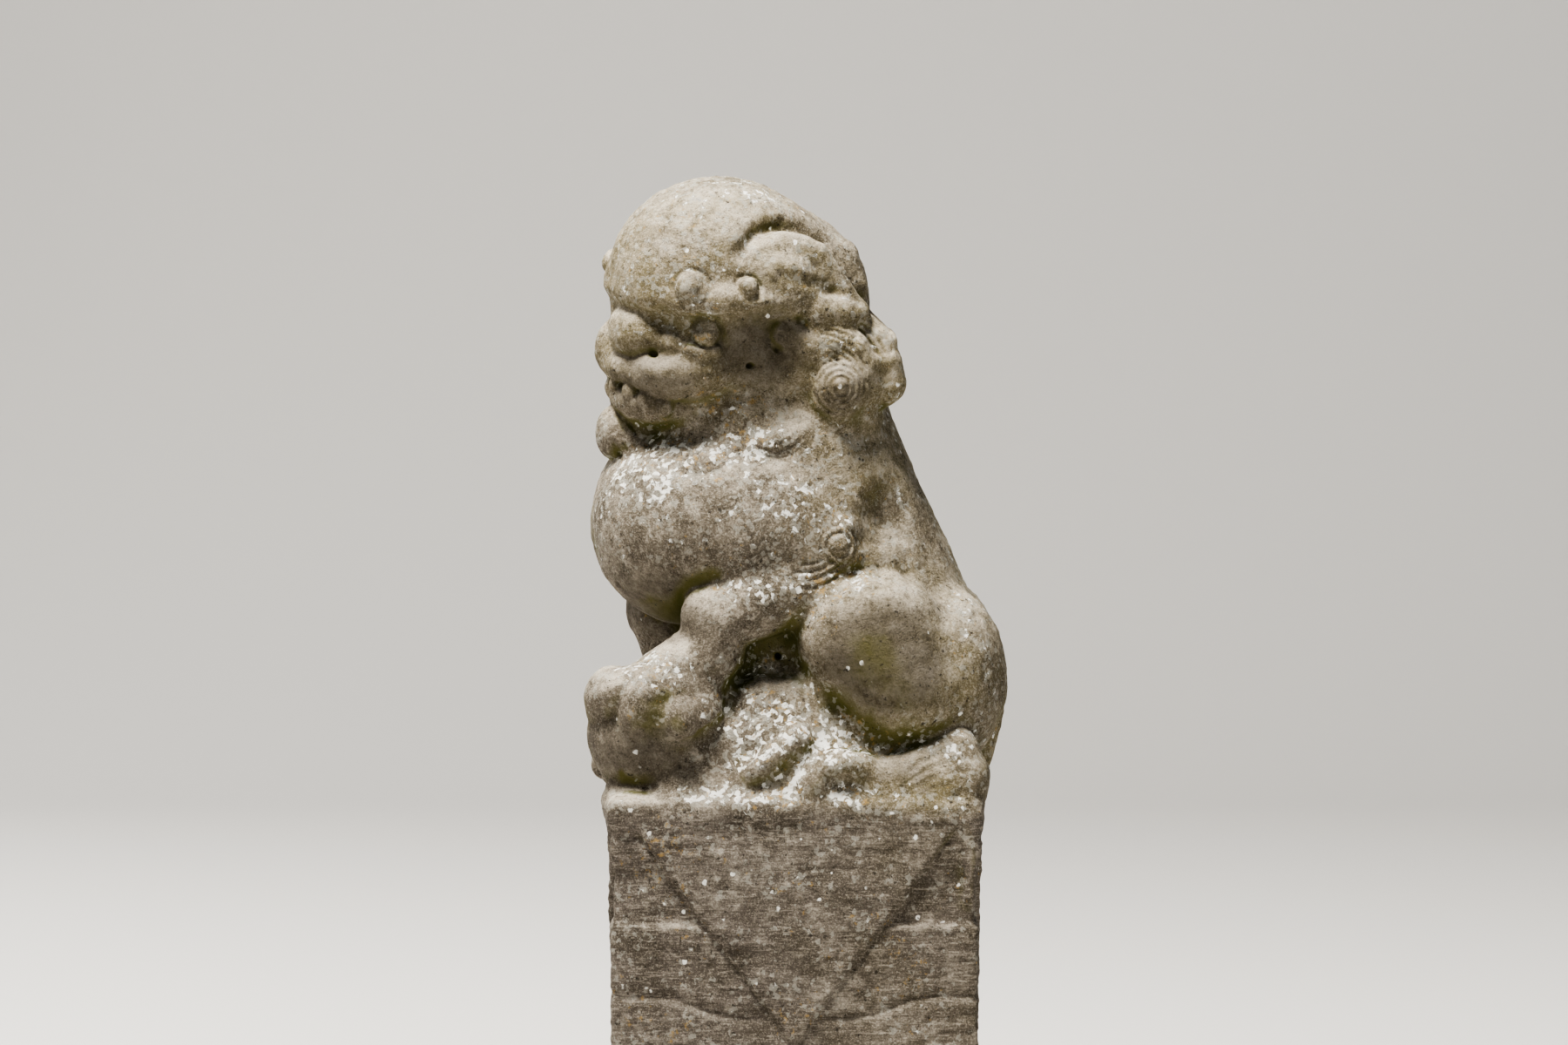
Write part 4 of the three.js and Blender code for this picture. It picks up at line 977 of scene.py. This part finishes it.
def stone_material():
    """Warm grey stone with algae, moss, flakes of white lichen and ochre specks; its creases, hollows and undersides
    get painted shade and its upward faces painted light.
    """
    m = Recipe("weathered_stone")
    crease, shelter, upward = m.attribute("crease"), m.attribute("shelter"), m.attribute("upward")
    growth_and_shade = m.attribute("growth_and_shade")
    parts = m.add("ShaderNodeSeparateXYZ", Vector=m.place)
    toward_tail, height = parts.outputs["X"], parts.outputs["Z"]
    broad, blotch, mottle = m.noise(13, 4), m.noise(42, 5, 0.6), m.noise(135, 5, 0.65)
    grain, sand = m.noise(420, 4, 0.7), m.noise(1050, 3, 0.7)
    uneven = m.shifted(0.004, 210)
    on_block = m.ramp(height, BLOCK_FROM, BLOCK_TO)
    calm = m.ramp(height, BLOCK_FROM, BLOCK_TO, 1.0, 0.5)
    calm = m.math("MINIMUM", calm, m.ramp(height, HEAD_FROM, HEAD_TO, 1.0, 0.75))

    plain = m.mix(m.ramp(height, BLOCK_FROM, BLOCK_TO, 0.0, 0.8), STONE_MID, BLOCK_BROWN)
    plain = m.mix(m.ramp(blotch, 0.58, 0.34, 0.0, 0.6), plain, STONE_DARK_AND_SHADE)
    yellow_side = m.math("MAXIMUM", m.ramp(toward_tail, -0.03, 0.07), m.ramp(height, HEAD_FROM, HEAD_TO, 0.0, 0.8))
    yellowed = m.math("MULTIPLY", yellow_side, m.ramp(broad, 0.35, 0.6, 0.25, 0.85))
    plain = m.mix(m.math("MULTIPLY", yellowed, m.ramp(height, BLOCK_TO, BLOCK_FROM, 0.15, 1.0)), plain, YELLOWED)
    # Painted light: faces that look upward are painted paler through the pale crust, as if lit from above.
    painted_top_light = m.math("MULTIPLY", m.ramp(upward, -0.05, 0.95), 0.2)
    crust = m.math("ADD", m.math("MULTIPLY", broad, 0.35), m.math("MULTIPLY", blotch, 0.35))
    crust = m.math("ADD", m.math("ADD", crust, m.math("MULTIPLY", mottle, 0.45)), painted_top_light)
    crust = m.math("SUBTRACT", crust, m.math("MULTIPLY", growth_and_shade, 0.1))
    tone = m.mix(m.ramp(crust, 0.55, 0.92, 0.0, 0.9), plain, STONE_PALE_AND_TOP_LIGHT)
    tone = m.mix(m.math("MULTIPLY", m.ramp(mottle, 0.46, 0.3, 0.0, 0.6), calm), tone, STONE_DARK_AND_SHADE)
    tone = m.mix(m.math("MULTIPLY", m.ramp(mottle, 0.55, 0.68, 0.0, 0.45), calm), tone, STONE_PALE_AND_TOP_LIGHT)
    tone = m.mix(m.math("MULTIPLY", m.ramp(grain, 0.52, 0.66, 0.0, 0.42), calm), tone, STONE_PALE_AND_TOP_LIGHT)
    tone = m.mix(m.math("MULTIPLY", m.ramp(grain, 0.49, 0.33, 0.0, 0.42), calm), tone, STONE_DARK_AND_SHADE)
    tone = m.mix(m.ramp(sand, 0.49, 0.33, 0.0, 0.5), tone, STONE_DARK_AND_SHADE)
    tone = m.mix(m.ramp(sand, 0.52, 0.66, 0.0, 0.42), tone, STONE_PALE_AND_TOP_LIGHT)
    # Partly painted shade: the bare patches under the chest and ball, on the cheek and thigh, are painted darker.
    tone = m.mix(m.ramp(growth_and_shade, 0.0, -1.0, 0.0, 0.68), tone, STONE_DARK_AND_SHADE)
    beds = m.noise(110, 4, 0.65, at=m.stretched((1, 1, 9)))
    tone = m.mix(m.math("MULTIPLY", m.ramp(beds, 0.5, 0.34, 0.0, 0.6), on_block), tone, STONE_DARK_AND_SHADE)
    tone = m.mix(m.math("MULTIPLY", m.ramp(beds, 0.54, 0.7, 0.0, 0.4), on_block), tone, STONE_PALE_AND_TOP_LIGHT)

    # Algae and painted shade: dark olive laid where the stone is sheltered, creased and facing down, so hollows and
    # undersides read as shaded.
    damp_and_shade = m.math("ADD", m.math("MULTIPLY", shelter, 1.1), m.math("MULTIPLY", crease, 0.4))
    damp_and_shade = m.math("ADD", damp_and_shade, m.math("MULTIPLY", blotch, 0.6))
    damp_and_shade = m.math("SUBTRACT", damp_and_shade, m.math("MULTIPLY", m.ramp(upward, -0.5, 0.7), 0.42))
    tone = m.mix(m.math("MULTIPLY", m.ramp(damp_and_shade, 0.46, 1.0, 0.0, 0.85), calm), tone, ALGAE_AND_SHADE)
    # Painted shade: creases are painted darker where little light reaches them.
    tone = m.mix(m.ramp(crease, 0.35, 0.8, 0.0, 0.5), tone, STONE_DARK_AND_SHADE)
    # Moss and painted shade: dark green laid partly at random and partly where the stone is sheltered from light.
    moss_and_shade = m.math("ADD", m.math("MULTIPLY", m.noise(28, 4), 0.6), m.math("MULTIPLY", shelter, 0.5))
    tone = m.mix(m.ramp(moss_and_shade, 0.56, 0.72, 0.0, 0.55), tone, MOSS_AND_SHADE)

    flakes = m.cells(390, uneven)
    cover = m.math("ADD", m.math("MULTIPLY", m.noise(46, 5, 0.6), 0.4), m.math("MULTIPLY", m.noise(170, 6, 0.74), 0.45))
    cover = m.math("ADD", cover, m.math("MULTIPLY", growth_and_shade, GROWTH_PULL))
    cover = m.math("ADD", cover, m.math("MULTIPLY", flakes, 0.3))
    cover = m.math("SUBTRACT", cover, m.math("MULTIPLY", on_block, 0.03))
    tone = m.mix(m.ramp(cover, 0.66, 0.7, 0.0, 0.5), tone, LICHEN_GREY)
    white = m.ramp(cover, COVER_FROM, COVER_FROM + 0.015)
    tone = m.mix(m.math("MULTIPLY", white, 0.92), tone, LICHEN_WHITE)

    dots = m.ramp(m.spots(75, uneven), 0.12, 0.085)
    few = m.ramp(m.math("ADD", m.noise(60, 2), m.math("MULTIPLY", on_block, 0.05)), 0.52, 0.6)
    tone = m.mix(m.math("MULTIPLY", dots, few), tone, LICHEN_WHITE)
    ochre = m.math("ADD", m.noise(240, 5, 0.7), m.math("MULTIPLY", m.noise(23, 2), 0.35))
    ochre = m.math("ADD", ochre, m.math("MULTIPLY", growth_and_shade, 0.06))
    tone = m.mix(m.ramp(ochre, 0.82, 0.87, 0.0, 0.65), tone, LICHEN_OCHRE)
    tone = m.mix(m.ramp(m.noise(300, 4, 0.6), 0.63, 0.69, 0.0, 0.8), tone, SPECK_DARK)

    relief = m.math("ADD", m.math("MULTIPLY", grain, 0.5), m.math("MULTIPLY", sand, 0.3))
    relief = m.math("ADD", relief, m.math("MULTIPLY", white, 0.22))
    relief = m.math("ADD", relief, m.math("MULTIPLY", mottle, 0.6))
    bump = m.add("ShaderNodeBump", Strength=1.0, Distance=0.0017, Height=relief)
    rough = m.ramp(grain, 0.3, 0.7, 0.8, 0.97)
    shader = m.add("ShaderNodeBsdfPrincipled", Roughness=rough, Normal=bump.outputs[0])
    m.feed(shader.inputs["Base Color"], tone)
    shader.inputs["Specular IOR Level"].default_value = 0.22
    m.add("ShaderNodeOutputMaterial", Surface=shader.outputs[0])
    return m.material


# The studio: a pale floor that rises behind the stone, soft lights and the camera

FLOOR_HALF, FLOOR_BACK, FLOOR_RISE, FLOOR_BEND = 3.2, 1.9, 2.6, 0.9
FLOOR_COLOUR = shade(0.62, 0.61, 0.59)


def make_floor():
    """A flat floor that turns up behind: a straight run, a quarter circle and a straight rise."""
    turn = np.linspace(0, np.pi / 2, 25)
    front = np.array([[-4.5, 0.0]])
    bend = np.stack([FLOOR_BACK + FLOOR_BEND * np.sin(turn), FLOOR_BEND * (1 - np.cos(turn))], axis=1)
    top = np.array([[FLOOR_BACK + FLOOR_BEND, FLOOR_RISE]])
    profile = np.concatenate([front, bend, top])
    rows = len(profile)
    points = np.zeros((2 * rows, 3))
    points[:rows, 0], points[rows:, 0] = -FLOOR_HALF, FLOOR_HALF
    points[:, 1:] = np.concatenate([profile, profile])
    first = np.arange(rows - 1)
    faces = np.stack([first, first + rows, first + rows + 1, first + 1], axis=1)
    floor = new_mesh("floor", points / METRES, faces)
    floor.data.shade_smooth()
    paper = Recipe("pale_floor")
    shader = paper.add("ShaderNodeBsdfPrincipled", Roughness=0.9)
    shader.inputs["Base Color"].default_value = FLOOR_COLOUR
    paper.add("ShaderNodeOutputMaterial", Surface=shader.outputs[0])
    floor.data.materials.append(paper.material)


def aim(thing, target):
    """Turns a light or camera to look at a point."""
    way = np.array(target) - np.array(thing.location)
    flat = float(np.hypot(way[0], way[1]))
    thing.rotation_euler = (float(np.pi / 2 + np.arctan2(way[2], flat)), 0, float(np.arctan2(-way[0], way[1])))


def make_light(name, place, width, power, colour):
    """A square area light that looks at the lion."""
    lamp = bpy.data.lights.new(name, "AREA")
    lamp.size, lamp.energy, lamp.color = width, power, colour
    light = bpy.data.objects.new(name, lamp)
    light.location = place
    bpy.context.scene.collection.objects.link(light)
    aim(light, (0, 0, 0.3))


def make_studio():
    """Soft daylight from the upper left, a weaker fill from the right and an even sky."""
    make_light("key", (-0.5, -0.62, 2.55), 0.6, 136, (1.0, 0.965, 0.91))
    make_light("fill", (2.0, -2.4, 1.1), 1.6, 7, (0.94, 0.97, 1.0))
    make_light("rim", (-1.7, 1.2, 1.3), 0.9, 22, (1.0, 0.98, 0.95))
    world = bpy.data.worlds.new("even_sky")
    world.use_nodes = True
    world.node_tree.nodes["Background"].inputs["Color"].default_value = (0.9, 0.94, 1.0, 1)
    world.node_tree.nodes["Background"].inputs["Strength"].default_value = 0.1
    bpy.context.scene.world = world
    bpy.context.scene.view_settings.look = "AgX - High Contrast"


# The photograph's view: 1800 by 1200 pixels, half a millimetre to the pixel at the lion
IMAGE_WIDTH, MM_PER_PIXEL = 1800, 0.5
LENS, SENSOR = 160, 36
LOOK_UP = 3.0
MIDDLE_X, MIDDLE_Z = -0.006, 0.34


def make_camera():
    """A long lens, looking along +Y and a little down, at the distance that gives the pixel size."""
    width = IMAGE_WIDTH * MM_PER_PIXEL * METRES
    away = LENS * width / SENSOR
    view = bpy.data.cameras.new("camera")
    view.lens, view.sensor_width = LENS, SENSOR
    camera = bpy.data.objects.new("camera", view)
    down = np.radians(LOOK_UP)
    camera.location = (MIDDLE_X, -away * np.cos(down), MIDDLE_Z + away * np.sin(down))
    bpy.context.scene.collection.objects.link(camera)
    aim(camera, (MIDDLE_X, 0, MIDDLE_Z))
    bpy.context.scene.camera = camera


lion = make_lion()
lion.data.materials.append(stone_material())
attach(lion, "root")
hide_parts(LION)

make_floor()
make_studio()
make_camera()
